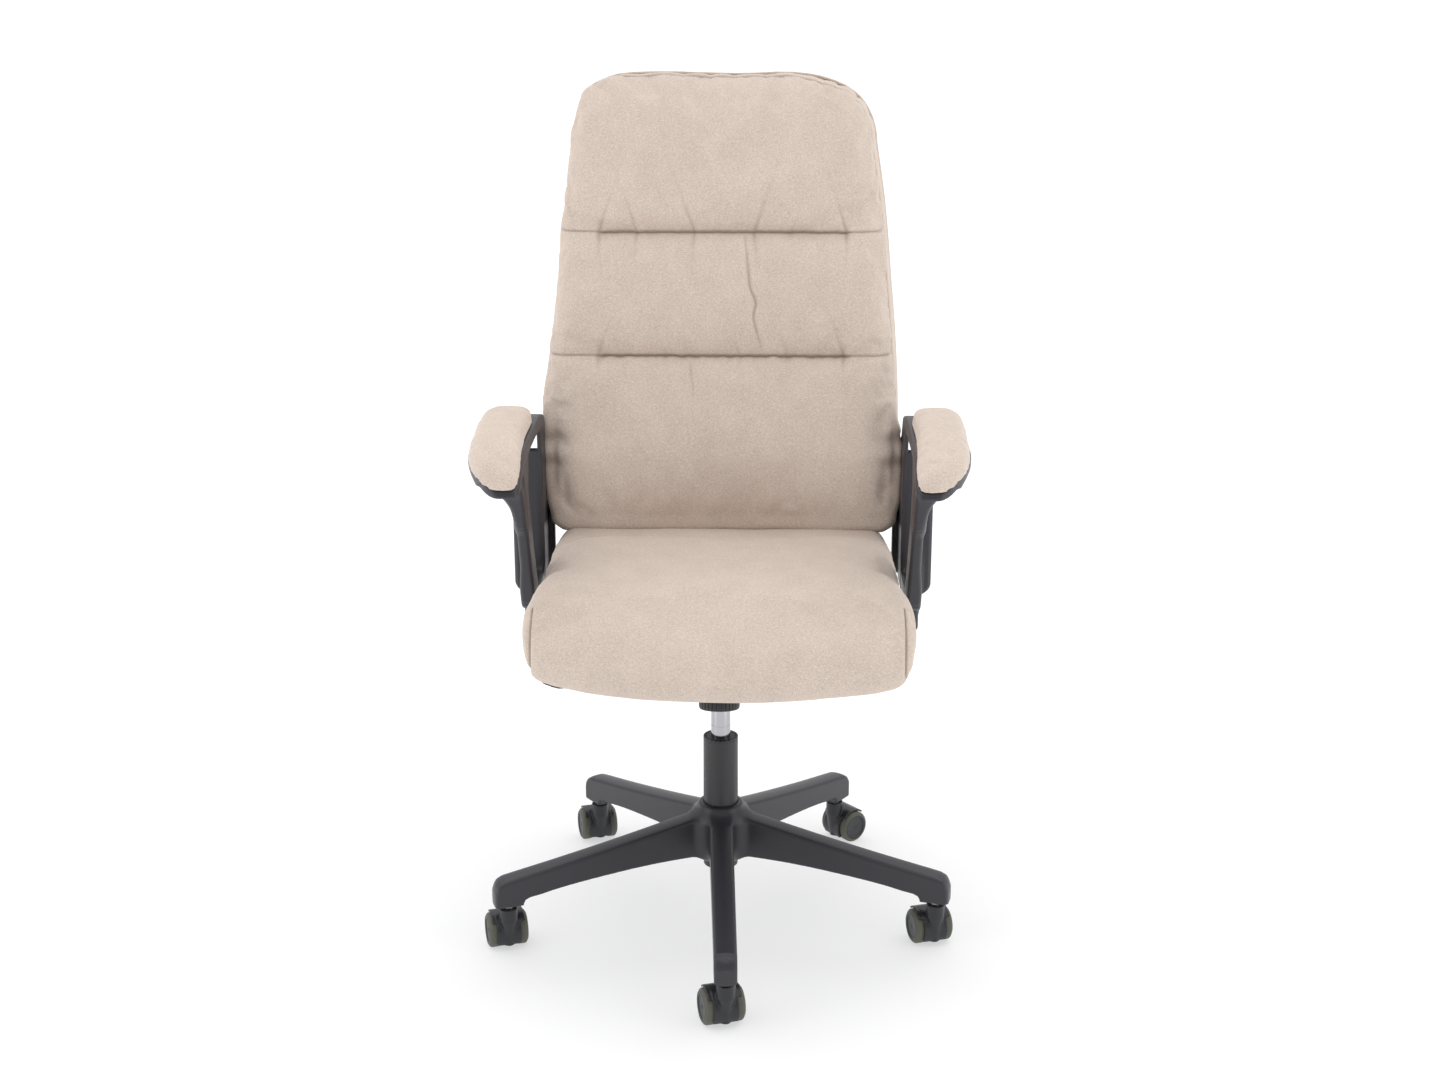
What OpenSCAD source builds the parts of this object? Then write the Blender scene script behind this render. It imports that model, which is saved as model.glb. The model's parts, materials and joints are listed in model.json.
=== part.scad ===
// Swivel office chair: padded seat and high back, closed-loop arms, centre-tilt mechanism,
// gas lift and five-leg base on twin-wheel casters.
// Millimetres. Origin on the floor under the column axis, +Z up, the sitter faces -Y.

/* [Base] */
// Distance from the column axis to each caster stem
stem_circle_r = 321; // [300:1:340]
// Width of a leg where it leaves the hub
leg_w = 34; // [30:1:38]
// Outer radius of the hub that grips the column
hub_r = 46; // [42:1:50]
// Height of the underside of the leg tips
socket_z = 72; // [70:1:76]
// Turn of the base about the column
base_turn = 2.3; // [-10:0.1:10]

/* [Casters] */
// Wheel diameter
wheel_d = 50; // [48:1:52]
// Width of one wheel
wheel_w = 18; // [16:1:19]
// Gap between the twin wheels
twin_gap = 21; // [21:1:24]
// Offset from the stem to the axle
trail = 20; // [18:1:22]
// Turn of the casters about their stems
caster_yaw = 17; // [-180:1:180]
// Turn of the rear right caster about its stem
odd_caster_yaw = -50; // [-180:1:180]

/* [Gas lift] */
// Outer tube diameter
tube_d = 50; // [49:1:51]
// Height of the top of the outer tube
tube_top_z = 288; // [280:1:292]
// Gas cylinder diameter
cylinder_d = 28; // [27:0.5:29]
// Height of the top of the gas cylinder
cylinder_top_z = 405; // [404:0.5:406]

/* [Mechanism] */
// Distance of the tilt axis in front of the column axis
pivot_y = -38; // [-40:1:-36]
// Height of the tilt axis
pivot_z = 425; // [424:0.5:426]
// Distance from the tilt axis forward to the tension bolt
bolt_arm = 45; // [44:0.5:46]
// Lean of the tension bolt away from the vertical
bolt_lean = 11; // [8:1:13]
// Tension knob diameter
knob_d = 57; // [52:1:60]

/* [Seat] */
// Widest part of the seat
seat_w = 520; // [500:5:520]
// Seat width at the back edge
seat_back_w = 496; // [480:4:500]
// Front of the seat cushion at the middle
seat_front_y = -265; // [-275:5:-255]
// Back of the seat cushion
seat_rear_y = 214; // [205:1:220]
// Height of the top of the seat cushion
seat_top_z = 550; // [545:1:551]

/* [Back] */
// Height of the top of the back
back_top_z = 1200; // [1180:5:1220]
// Height of the bottom of the back cushion
back_foot_z = 552; // [552:1:556]
// Widest part of the back
back_w = 520; // [500:5:520]
// Width of the flat top edge
back_crown_w = 326; // [300:2:340]
// Lean of the rear face of the back
back_lean = 11.3; // [10:0.1:12.5]
// Heights of the two stitched channels
channel_z = [807, 982];

/* [Arms] */
// Distance from the middle of the chair to the inner face of an arm
arm_in_x = 264; // [264:1:268]
// Thickness of the arm loop
arm_t = 22; // [20:1:24]
// Height of the top of the arm pads
pad_top_z = 758; // [750:1:765]
// Width of an arm pad
pad_w = 70; // [64:1:72]

/* [Hidden] */
$fn = 64;
FINE = 96;
FABRIC = [0.82, 0.74, 0.66];
BLACK = [0.14, 0.14, 0.15];
DARK = [0.20, 0.20, 0.21];
TREAD = [0.42, 0.43, 0.38];
STEEL = [0.74, 0.74, 0.76];
PLY = [0.72, 0.56, 0.38];

CASTERS = ["front", "right", "rear_right", "rear_left", "left"];
WHEELS = ["l", "r"];
wheel_sign = [-1, 1];

wheel_r = wheel_d / 2;
wheel_in_x = twin_gap / 2;
wheel_out_x = wheel_in_x + wheel_w;
rim_r = 19.5;
axle_r = 4;
stem_r = 5.5;
pivot_stem_r = 4;
run = 0.05;
leg_tip_r = stem_circle_r + 22;
leg_top_z = 170;
hub_low_z = 106;
hub_top_z = 185;
tube_low_z = 88;
tube_wall = 1.5;
cylinder_low_z = 185;
piston_z = 228;

bolt_y = pivot_y - bolt_arm;
housing_w = 76;
sheet = 3;
wall_t = 4;
lever_z = 417.5;
lever_r = 4;
slider_r = 8;
slider_bore_r = 5.8;
slider_x = -38;
spring_r = 15.2;
wire_r = 2.75;
spring_low = -47.5;
spring_high = -13.5;
spring_turns = 3.5;

plate_z = 440;
board_z = plate_z + sheet;
board_t = 12;
seat_low_z = board_z + board_t;
seat_bolt_xy = [75, 75];

panel_t = 18;
arm_top_z = 734;
arm_out_x = 336;
rear_leg_in_x = 261;
rear_leg_w = 41;
rear_leg_top_z = 686;
cheek_t = 12;
cheek_x = 239;
cheek_front_y = 172;
cheek_low_z = 590;
cheek_h = 120;
back_rear_y = 250;
lug_z = board_z - 5;
lug_bolt_x = 215;
lug_bolt_y = [50, 110];
cheek_bolt_z = [610, 652];
cheek_bolt_y = 181;
boss_r = 12;

// Points along an arc, angles in degrees
function arc(centre, r, from, to, steps = 8) =
    [for (i = [0 : steps]) let (a = from + (to - from) * i / steps)
        centre + r * [cos(a), sin(a)]];

// Front face of the back, as y for a height z
function back_front_y(z) =
    z < 660 ? 158 : 158 + 142 * pow((z - 660) / 540, 1.15);

// Half width of the back, as x for a height z
function back_half_w(z) =
    back_w / 2 - 8 * pow(max(0, 640 - z) / 90, 2) - 54 * pow(max(0, z - 700) / 480, 1.7);

function caster_angle(k) = base_turn - 90 + 72 * k;
function caster_turn(k) = k == 2 ? odd_caster_yaw : caster_yaw;

// Places its children at caster k, with the stem at the origin and the axle trailing to +Y
module at_caster(k) {
    rotate([0, 0, caster_angle(k)])
        translate([stem_circle_r, 0, 0])
            rotate([0, 0, -caster_angle(k) + caster_turn(k)])
                children();
}

// Places its children on the axle, with the axle along Z and the floor to -Y
module on_axle() {
    translate([0, trail, wheel_r]) rotate([90, 0, 90]) children();
}

// Places its children at the tension bolt's trunnion, leaning with the bolt
module on_bolt() {
    translate([0, bolt_y, pivot_z]) rotate([-bolt_lean, 0, 0]) children();
}

// Places its children on the rear face of the back, its foot at the origin
module on_back() {
    translate([0, back_rear_y, back_foot_z]) rotate([-back_lean, 0, 0]) children();
}

// A bar of thickness t along X, from an outline in Y and Z
module side_bar(x, t) {
    translate([x, 0, 0]) rotate([90, 0, 90]) linear_extrude(t) children();
}

// A cylinder along X
module x_rod(x, y, z, r, length) {
    translate([x, y, z]) rotate([0, 90, 0]) cylinder(h = length, r = r);
}

// A round bar between two points
module bar(a, b, r) {
    d = b - a;
    length = norm(d);
    translate(a)
        rotate([0, acos(d[2] / length), atan2(d[1], d[0])])
            cylinder(h = length, r = r);
}

// A rectangle with rounded corners, centred
module rounded_rect(size, r) {
    for (x = [-1, 1], y = [-1, 1])
        translate([x * (size[0] / 2 - r), y * (size[1] / 2 - r)]) circle(r);
    square([size[0] - 2 * r, size[1]], center = true);
    square([size[0], size[1] - 2 * r], center = true);
}

module leg_side() {
    tip_round = 20;
    polygon(concat(
        [[0, leg_top_z + 4], [hub_r, leg_top_z], [184, 142], [258, 127]],
        arc([leg_tip_r - tip_round, 117 - tip_round], tip_round, 90, 0),
        [[leg_tip_r, socket_z], [leg_tip_r - 43, socket_z]],
        arc([leg_tip_r - 53, socket_z + 3], 10, 0, 80, 4),
        [[258, 90], [184, 101], [hub_r, hub_low_z + 3], [0, hub_low_z + 3]]
    ));
}

module leg_plan() {
    tip_w = leg_w - 3;
    corner = 12;
    polygon(concat(
        [[0, -leg_w / 2], [hub_r, -leg_w / 2]],
        arc([leg_tip_r - corner, corner - tip_w / 2], corner, -90, 0),
        arc([leg_tip_r - corner, tip_w / 2 - corner], corner, 0, 90),
        [[hub_r, leg_w / 2], [0, leg_w / 2]]
    ));
}

// The open channel under a leg, with its cross ribs left standing
module leg_channel() {
    skin = 4;
    rib_pitch = 46;
    difference() {
        rotate([90, 0, 0]) linear_extrude(leg_w - 2 * skin - 3, center = true)
            polygon([[hub_r + 10, 60], [hub_r + 10, 162], [184, 137],
                     [258, 122], [leg_tip_r - 48, 113], [leg_tip_r - 48, 60]]);
        for (i = [1 : 4])
            translate([hub_r + 10 + rib_pitch * i, 0, 100]) cube([skin, leg_w, 200], center = true);
    }
}

module star_base() {
    fillet = 12;
    color(BLACK) difference() {
        union() {
            for (k = [0 : 4]) rotate([0, 0, caster_angle(k)]) intersection() {
                rotate([90, 0, 0]) linear_extrude(leg_w, center = true) leg_side();
                linear_extrude(leg_top_z + 10) leg_plan();
            }
            rotate_extrude($fn = FINE) polygon(concat(
                [[0, hub_low_z], [hub_r - 3, hub_low_z], [hub_r, hub_low_z + 3],
                 [hub_r, leg_top_z - 6]],
                arc([33 + fillet, hub_top_z - 3], fillet, -100, -180, 5),
                [[33, hub_top_z], [0, hub_top_z]]
            ));
        }
        for (k = [0 : 4]) rotate([0, 0, caster_angle(k)]) {
            leg_channel();
            translate([stem_circle_r, 0, socket_z - 1]) cylinder(h = 38, r = stem_r);
        }
        translate([0, 0, hub_low_z - 1]) cylinder(h = 100, r = tube_d / 2, $fn = FINE);
    }
}

module caster_stems() {
    color(STEEL) for (k = [0 : 4]) at_caster(k) {
        translate([0, 0, socket_z]) cylinder(h = 34, r = stem_r);
        translate([0, 0, socket_z - 3.5]) cylinder(h = 3.5, r = 8.5);
        translate([0, 0, 38]) cylinder(h = socket_z - 38, r = pivot_stem_r);
    }
}

// Ring sector about the axle; angles run from the rear (0) over the top (90) to the front (180)
module axle_sector(r_in, r_out, half_w, from, to) {
    on_axle() translate([0, 0, -half_w]) linear_extrude(2 * half_w)
        polygon(concat(arc([0, 0], r_out, from, to, 16), arc([0, 0], r_in, to, from, 16)));
}

module caster_hood(k) {
    boss_r = 13;
    boss_top_z = socket_z - 4;
    floor_gap = 9.5;
    clear_r = wheel_r + 0.7;
    web_w = twin_gap - 1;
    color(BLACK) at_caster(k) difference() {
        union() {
            on_axle() intersection() {
                cylinder(h = web_w, r = wheel_r + 1, center = true);
                translate([-wheel_r - 7, floor_gap - wheel_r, -web_w / 2])
                    cube([wheel_r + 18, 2 * wheel_r, web_w]);
            }
            axle_sector(wheel_r - 3, wheel_r + 4, 18, 85, 208);
            axle_sector(wheel_r, wheel_r + 3.2, 24, 55, 132);
            translate([0, 0, 22]) cylinder(h = 28, r1 = 6, r2 = boss_r);
            translate([0, 0, 48]) cylinder(h = boss_top_z - 48, r = boss_r);
        }
        on_axle() for (s = wheel_sign) translate([0, 0, s * (web_w / 2 + 15 + 0.1)])
            cylinder(h = 30, r = clear_r, center = true);
        translate([0, 0, 37.5]) cylinder(h = 40, r = pivot_stem_r + run);
        on_axle() cylinder(h = 60, r = axle_r, center = true);
    }
}

module caster_axle(k) {
    color(STEEL) at_caster(k) on_axle() cylinder(h = 2 * wheel_out_x - 7, r = axle_r, center = true);
}

// Places its children with the wheel's inner face at the origin and its outer face to +Z
module at_wheel(k, side) {
    at_caster(k) translate([0, trail, wheel_r]) rotate([0, 90 * wheel_sign[side], 0])
        translate([0, 0, wheel_in_x]) children();
}

module wheel_core(k, side) {
    dish = 4;
    color(DARK) at_wheel(k, side) rotate_extrude($fn = FINE) difference() {
        polygon([[0, 0], [9, 0], [11, dish], [rim_r - 3, dish], [rim_r - 2, 1], [rim_r, 1],
                 [rim_r, wheel_w - 1.5], [rim_r - 2, wheel_w - 0.5], [12, wheel_w], [0, wheel_w]]);
        translate([0, -1]) square([axle_r + run, wheel_w - 2]);
    }
}

module wheel_tread(k, side) {
    crown = 4.5;
    color(TREAD) at_wheel(k, side) rotate_extrude($fn = FINE) polygon(concat(
        [[rim_r, 1], [wheel_r - crown, 0.5]],
        arc([wheel_r - crown, 0.5 + crown], crown, -90, 0, 5),
        arc([wheel_r - crown, wheel_w - 1 - crown], crown, 0, 90, 5),
        [[rim_r, wheel_w - 1.5]]
    ));
}

module column_tube() {
    groove_z = tube_top_z - 3;
    color(BLACK) difference() {
        translate([0, 0, tube_low_z])
            cylinder(h = tube_top_z - tube_low_z, r = tube_d / 2, $fn = FINE);
        translate([0, 0, tube_low_z + sheet])
            cylinder(h = 300, r = tube_d / 2 - tube_wall, $fn = FINE);
        translate([0, 0, tube_low_z - 1]) cylinder(h = 10, r = 6);
        translate([0, 0, groove_z]) difference() {
            cylinder(h = 0.8, r = tube_d, $fn = FINE);
            translate([0, 0, -1]) cylinder(h = 3, r = tube_d / 2 - 0.4, $fn = FINE);
        }
    }
}

module column_bushing() {
    slots = 20;
    outer_r = tube_d / 2 - tube_wall;
    color(BLACK) translate([0, 0, tube_top_z - 60]) difference() {
        cylinder(h = 60, r = outer_r, $fn = FINE);
        translate([0, 0, -1]) cylinder(h = 70, r = cylinder_d / 2 + run, $fn = FINE);
        for (i = [0 : slots - 1]) rotate([0, 0, 360 * i / slots])
            translate([outer_r - 1.6, 0, 60]) cube([3.4, 2.4, 6], center = true);
    }
}

module retaining_clip() {
    color(STEEL) translate([0, 0, tube_low_z - 1.7]) difference() {
        cylinder(h = 1.6, r = 9);
        translate([0, 0, -1]) cylinder(h = 5, r = 5);
    }
}

module thrust_bearing() {
    color(STEEL) translate([0, 0, tube_low_z + sheet]) difference() {
        cylinder(h = 5, r = 13);
        translate([0, 0, -1]) cylinder(h = 7, r = 5 + run);
        translate([0, 0, 2.5]) difference() {
            cylinder(h = 0.6, r = 20, center = true);
            cylinder(h = 2, r = 11.5, center = true);
        }
    }
}

module piston_rod() {
    shoulder_z = tube_low_z + sheet + 5.1;
    color(STEEL) {
        translate([0, 0, tube_low_z - 4]) cylinder(h = piston_z + 4 - tube_low_z + 4, r = 5);
        translate([0, 0, shoulder_z]) cylinder(h = 2.4, r = 8);
        translate([0, 0, piston_z]) cylinder(h = 12, r = cylinder_d / 2 - 2);
    }
}

module gas_cylinder() {
    seal_h = 15;
    coat_line_z = 306;
    color(STEEL) difference() {
        translate([0, 0, cylinder_low_z])
            cylinder(h = cylinder_top_z - cylinder_low_z, r = cylinder_d / 2, $fn = FINE);
        translate([0, 0, cylinder_low_z + seal_h])
            cylinder(h = cylinder_top_z - cylinder_low_z - seal_h - 7, r = cylinder_d / 2 - 2 + run);
        translate([0, 0, cylinder_low_z - 1]) cylinder(h = seal_h + 2, r = 5 + run);
        translate([0, 0, cylinder_top_z - 8]) cylinder(h = 10, r = 3 + run);
        translate([0, 0, coat_line_z]) difference() {
            cylinder(h = 0.7, r = cylinder_d, $fn = FINE);
            translate([0, 0, -1]) cylinder(h = 3, r = cylinder_d / 2 - 0.25, $fn = FINE);
        }
    }
}

module release_button() {
    color("red") translate([0, 0, cylinder_top_z - 9]) cylinder(h = 17, r = 3);
}

// Side outline of the tilt housing; inset is the sheet thickness for the hollow inside
module housing_side(inset, top) {
    front_y = bolt_y - 29;
    floor_z = 388;
    lean = tan(bolt_lean);
    pan_z = pivot_z - 13 / cos(bolt_lean) + inset / cos(bolt_lean);
    polygon([
        [front_y + inset, top ? 460 : 434],
        [-20, top ? 460 : 434],
        [56 - inset, top ? 460 : 410],
        [56 - inset, floor_z + inset],
        [-40 + inset * 0.6, floor_z + inset],
        [bolt_y + 22 + inset * 0.6, pan_z - 22 * lean],
        [front_y + inset, pan_z + (29 - inset) * lean]
    ]);
}

module tilt_housing() {
    color(DARK) difference() {
        union() {
            difference() {
                side_bar(-housing_w / 2, housing_w) housing_side(0, false);
                side_bar(-housing_w / 2 + wall_t, housing_w - 2 * wall_t) housing_side(sheet, true);
            }
            translate([0, 0, 385]) cylinder(h = 21, r = 20);
        }
        translate([0, 0, 380]) cylinder(h = 40, r = cylinder_d / 2, $fn = FINE);
        x_rod(-50, pivot_y, pivot_z, 5, 100);
        x_rod(-50, 0, lever_z, slider_r + run, 20);
        on_bolt() translate([0, 0, -20]) cylinder(h = 20, r = 6);
    }
}

module seat_plate() {
    ear_x = housing_w / 2 + 1;
    inner_ear_x = 14;
    color(DARK) difference() {
        union() {
            translate([-95, -105, plate_z]) cube([190, 200, sheet]);
            for (s = wheel_sign) {
                side_bar(s * (ear_x + sheet / 2) - sheet / 2, sheet)
                    union() {
                        translate([pivot_y, pivot_z]) circle(11);
                        translate([pivot_y - 11, pivot_z]) square([22, plate_z + 1 - pivot_z]);
                    }
                side_bar(s * (inner_ear_x + sheet / 2) - sheet / 2, sheet)
                    union() {
                        translate([bolt_y, pivot_z]) circle(9);
                        translate([bolt_y - 9, pivot_z]) square([18, plate_z + 1 - pivot_z]);
                    }
            }
        }
        x_rod(-60, pivot_y, pivot_z, 5 + run, 120);
        x_rod(-30, bolt_y, pivot_z, 5.4, 60);
        for (x = wheel_sign, y = wheel_sign)
            translate([x * seat_bolt_xy[0], y * seat_bolt_xy[1], plate_z - 1]) cylinder(h = 6, r = 3);
    }
}

module pivot_pin() {
    color(STEEL) {
        x_rod(-44, pivot_y, pivot_z, 5, 88);
        for (s = wheel_sign) x_rod(s * 44 - 1, pivot_y, pivot_z, 7, 2);
    }
}

module tension_bolt() {
    color(STEEL) on_bolt() {
        translate([0, 0, -58]) cylinder(h = 60, r = 5);
        rotate([0, 90, 0]) cylinder(h = 40, r = 4, center = true);
    }
}

module tension_spring() {
    sides = 8;
    steps = 14;
    rings = spring_turns * steps;
    rise = (spring_high - spring_low - 2 * wire_r) / rings;
    points = [for (i = [0 : rings], j = [0 : sides - 1])
        let (a = 360 * i / steps, b = 360 * j / sides, r = spring_r + wire_r * cos(b))
        [r * cos(a), r * sin(a), spring_low + wire_r + rise * i + wire_r * sin(b)]];
    faces = concat(
        [[for (j = [0 : sides - 1]) j]],
        [for (i = [0 : rings - 1], j = [0 : sides - 1])
            let (n = (j + 1) % sides)
            [i * sides + j, (i + 1) * sides + j, (i + 1) * sides + n, i * sides + n]],
        [[for (j = [sides - 1 : -1 : 0]) rings * sides + j]]
    );
    color(STEEL) on_bolt() polyhedron(points, faces);
}

module spring_cup() {
    color(STEEL) on_bolt() difference() {
        union() {
            translate([0, 0, -52.9]) cylinder(h = 4.9, r = 20.5);
            translate([0, 0, -49]) cylinder(h = 6, r = 11.5);
        }
        translate([0, 0, -60]) cylinder(h = 20, r = 5 + run);
    }
}

module tension_knob() {
    grips = 30;
    r = knob_d / 2;
    color(BLACK) on_bolt() translate([0, 0, -59]) difference() {
        rotate_extrude($fn = FINE) polygon([[0, 0], [r - 2, 0], [r, 2], [r, 28], [r - 2, 30],
                                            [21, 30], [21, 6], [0, 6]]);
        for (i = [0 : grips - 1]) rotate([0, 0, 360 * i / grips])
            translate([r + 0.4, 0, 3]) cylinder(h = 40, r = 1.3, $fn = 16);
        translate([0, 0, -1]) cylinder(h = 10, r = 5 + run);
    }
}

module lock_slider() {
    color(BLACK) difference() {
        union() {
            x_rod(slider_x - 9, 0, lever_z, slider_r, 17);
            x_rod(slider_x - 12, 0, lever_z, slider_r + 2.5, 3);
        }
        x_rod(slider_x - 20, 0, lever_z, slider_bore_r, 40);
    }
}

lever_path = [[3, 0, lever_z], [-66, 0, lever_z], [-92, -14, 415], [-160, -80, 406], [-196, -90, 404]];

module lever_rod() {
    color(STEEL) {
        for (i = [0 : len(lever_path) - 2]) bar(lever_path[i], lever_path[i + 1], lever_r);
        for (i = [1 : len(lever_path) - 2]) translate(lever_path[i]) sphere(lever_r + 0.3);
    }
}

module lever_paddle() {
    color(BLACK) difference() {
        translate([0, 0, 398]) linear_extrude(12) {
            translate([-172, -85]) circle(13);
            translate([-222, -94]) circle(16);
            polygon([[-174, -72], [-220, -78], [-226, -110], [-175, -98]]);
        }
        for (i = [2 : 3]) bar(lever_path[i], lever_path[i + 1], lever_r);
        translate(lever_path[3]) sphere(lever_r + 0.3);
    }
}

module seat_board() {
    color(PLY) translate([0, 0, board_z]) difference() {
        linear_extrude(board_t) polygon(concat(
            arc([-210, -190], 25, 180, 270), arc([210, -190], 25, 270, 360),
            arc([205, 170], 25, 0, 90), arc([-205, 170], 25, 90, 180)));
        for (x = wheel_sign, y = wheel_sign)
            translate([x * seat_bolt_xy[0], y * seat_bolt_xy[1], -1]) cylinder(h = 11, r = 3);
        for (x = wheel_sign, y = lug_bolt_y)
            translate([x * lug_bolt_x, y, -1]) cylinder(h = 11, r = 4);
    }
}

module seat_plan() {
    front_w = seat_w / 2;
    rear_w = seat_back_w / 2;
    polygon(concat(
        [[-rear_w, seat_rear_y - 55], [-front_w, -190]],
        [for (a = [-60 : 10 : 60]) [front_w * 0.97 * sin(a) / sin(60),
            seat_front_y + 42 * (1 - cos(a)) / (1 - cos(60))]],
        [[front_w, -190], [rear_w, seat_rear_y - 55]],
        arc([rear_w - 45, seat_rear_y - 45], 45, 0, 90),
        arc([45 - rear_w, seat_rear_y - 45], 45, 90, 180)
    ));
}

module seat_side() {
    nose = 34;
    polygon(concat(
        [[seat_rear_y, seat_low_z + 1], [seat_rear_y, seat_top_z - 25]],
        arc([seat_rear_y - 25, seat_top_z - 25], 25, 0, 90),
        [[-100, seat_top_z], [-160, seat_top_z - 5]],
        arc([seat_front_y + 62, seat_top_z - 67], 60, 80, 180),
        arc([seat_front_y + nose + 1, seat_low_z + 12], nose, 180, 260, 5),
        [[-216, seat_low_z - 14], [-216, seat_low_z + 1]]
    ));
}

module seat_cushion() {
    color(FABRIC) intersection() {
        side_bar(-seat_w / 2 - 10, seat_w + 20) seat_side();
        translate([0, 0, 400]) linear_extrude(200) seat_plan();
    }
}

module seat_bolts() {
    color(STEEL) for (x = wheel_sign, y = wheel_sign)
        translate([x * seat_bolt_xy[0], y * seat_bolt_xy[1], 0]) {
            translate([0, 0, plate_z - 4]) cylinder(h = 4, r = 5.5);
            translate([0, 0, plate_z]) cylinder(h = 12, r = 3);
        }
}

// Front outline of the back, as points in X and Z; inset moves it inwards
module back_outline(inset) {
    shoulder_z = back_top_z - 22;
    zs = [for (z = [back_foot_z + 26 : 46 : shoulder_z - 10]) z];
    foot_w = back_half_w(back_foot_z + 26) - inset;
    top_w = back_crown_w / 2;
    right = concat(
        arc([foot_w - 26, back_foot_z + 26 + inset], 26, -90, 0, 5),
        [for (z = zs) if (z > back_foot_z + 40 + inset && z < shoulder_z - inset)
            [back_half_w(z) - inset, z]],
        [[top_w + 42 - inset, shoulder_z - inset], [top_w + 22 - inset, back_top_z - 7 - inset],
         [top_w - 10, back_top_z - inset]]
    );
    left = [for (i = [len(right) - 1 : -1 : 0]) [-right[i][0], right[i][1]]];
    polygon(concat(right, left));
}

// A slab of the back's outline, from the front face y to the far side
module back_slab(inset) {
    translate([0, 500, 0]) rotate([90, 0, 0]) linear_extrude(500) back_outline(inset);
}

module behind(distance, thickness) {
    on_back() translate([-400, -distance, -100]) cube([800, thickness, 900]);
}

module side_cheeks() {
    depth = back_rear_y + 3 - cheek_front_y;
    for (s = wheel_sign) translate([s * (cheek_x + cheek_t / 2) - cheek_t / 2, cheek_front_y, cheek_low_z])
        cube([cheek_t, depth, cheek_h]);
}

module back_board() {
    color(PLY) difference() {
        union() {
            intersection() {
                behind(panel_t + board_t, board_t);
                back_slab(16);
            }
            difference() {
                side_cheeks();
                behind(panel_t + board_t, 200);
            }
        }
        for (s = wheel_sign, z = cheek_bolt_z) x_rod(s * 245 - 20, cheek_bolt_y, z, 4, 40);
    }
}

module back_profile() {
    zs = [for (i = [0 : 14]) 600 + (back_top_z - 40 - 600) * i / 14];
    top_y = back_front_y(back_top_z - 40);
    polygon(concat(
        [[420, back_foot_z - 5], [420, back_top_z], [top_y + 42, back_top_z]],
        arc([top_y + 40, back_top_z - 40], 40, 90, 165, 6),
        [for (i = [14 : -1 : 1]) [back_front_y(zs[i]), zs[i]]],
        arc([back_front_y(600) + 45, back_foot_z + 45], 45, 180, 270, 6)
    ));
}

module back_cushion() {
    color(FABRIC) difference() {
        intersection() {
            side_bar(-300, 600) back_profile();
            back_slab(0);
        }
        behind(panel_t, 300);
        intersection() {
            behind(panel_t + board_t, 60);
            back_slab(16);
        }
        side_cheeks();
        for (s = wheel_sign, z = cheek_bolt_z) x_rod(s * 261 - 10, cheek_bolt_y, z, boss_r + 0.5, 20);
        for (z = channel_z) x_rod(-300, back_front_y(z) - 4, z, 9, 600);
    }
}

module back_panel() {
    color(FABRIC) intersection() {
        behind(panel_t, panel_t);
        back_slab(0);
    }
}

module arm_loop_side() {
    leg_d = 38;
    top_z = arm_top_z - 16;
    difference() {
        polygon(concat(
            [[-128, arm_top_z - 10], [-104, 700], [-8, 490]],
            arc([14, 500], 24, 200, 262, 4),
            [[34, 474], [34, lug_z], [126, lug_z], [126, 472]],
            arc([162, 502], 30, 270, 360, 5),
            [[193, 600], [190, 690], [168, arm_top_z - 10]]
        ));
        polygon(concat(
            [[leg_d - 110, top_z], [leg_d - 2, 506]],
            arc([58, 514], 14, 210, 270, 3),
            arc([102, 514], 14, 270, 360, 4),
            [[118, 560], [114, 700], [98, top_z]]
        ));
    }
}

// Top of the tray under a pad, from its drooping front end to the rear
function tray_top() = [[-208, 697], [-203, 709], [-186, 719], [-150, 728], [-100, arm_top_z]];

module arm_tray_side() {
    polygon(concat(tray_top(), [[100, arm_top_z], [140, 730], [168, 716], [160, 700],
                                [100, 722], [-110, 721], [-155, 713], [-186, 702], [-200, 694]]));
}

module arm_tray_plan() {
    inner = arm_in_x - 2;
    polygon(concat(
        arc([inner + 11, -197], 11, 180, 270, 4), arc([arm_out_x - 62, -146], 62, 270, 360),
        [[arm_out_x, 40], [326, 110], [306, 165], [290, 184], [arm_in_x, 184], [inner, 100]]
    ));
}

// The web that carries the front leg outwards and forwards under the tray
module arm_web() {
    intersection() {
        translate([0, 20, 0]) rotate([90, 0, 0]) linear_extrude(240)
            polygon([[arm_in_x, 724], [arm_out_x, 724], [321, 702], [309, 681], [298, 669],
                     [arm_in_x + arm_t + 4, 660], [arm_in_x + arm_t, 645], [arm_in_x, 640]]);
        side_bar(arm_in_x, 80)
            polygon([[-178, 712], [-170, 707], [-132, 695], [-108, 678], [-92, 658],
                     [-76, 640], [-39, 640], [-69, 706], [-72, 724], [-150, 722]]);
    }
}

// The thick lower part of the rear leg, which is bolted to the back; its top is rounded
module arm_rear_leg() {
    round_r = 12;
    low_z = 476;
    intersection() {
        side_bar(rear_leg_in_x, rear_leg_w) arm_loop_side();
        translate([rear_leg_in_x + rear_leg_w / 2, 198, 0]) rotate([90, 0, 0]) linear_extrude(80) {
            translate([0, (low_z + rear_leg_top_z) / 2])
                rounded_rect([rear_leg_w, rear_leg_top_z - low_z], round_r);
            translate([-rear_leg_w / 2, low_z]) square([rear_leg_w, 2 * round_r]);
        }
    }
}

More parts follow.
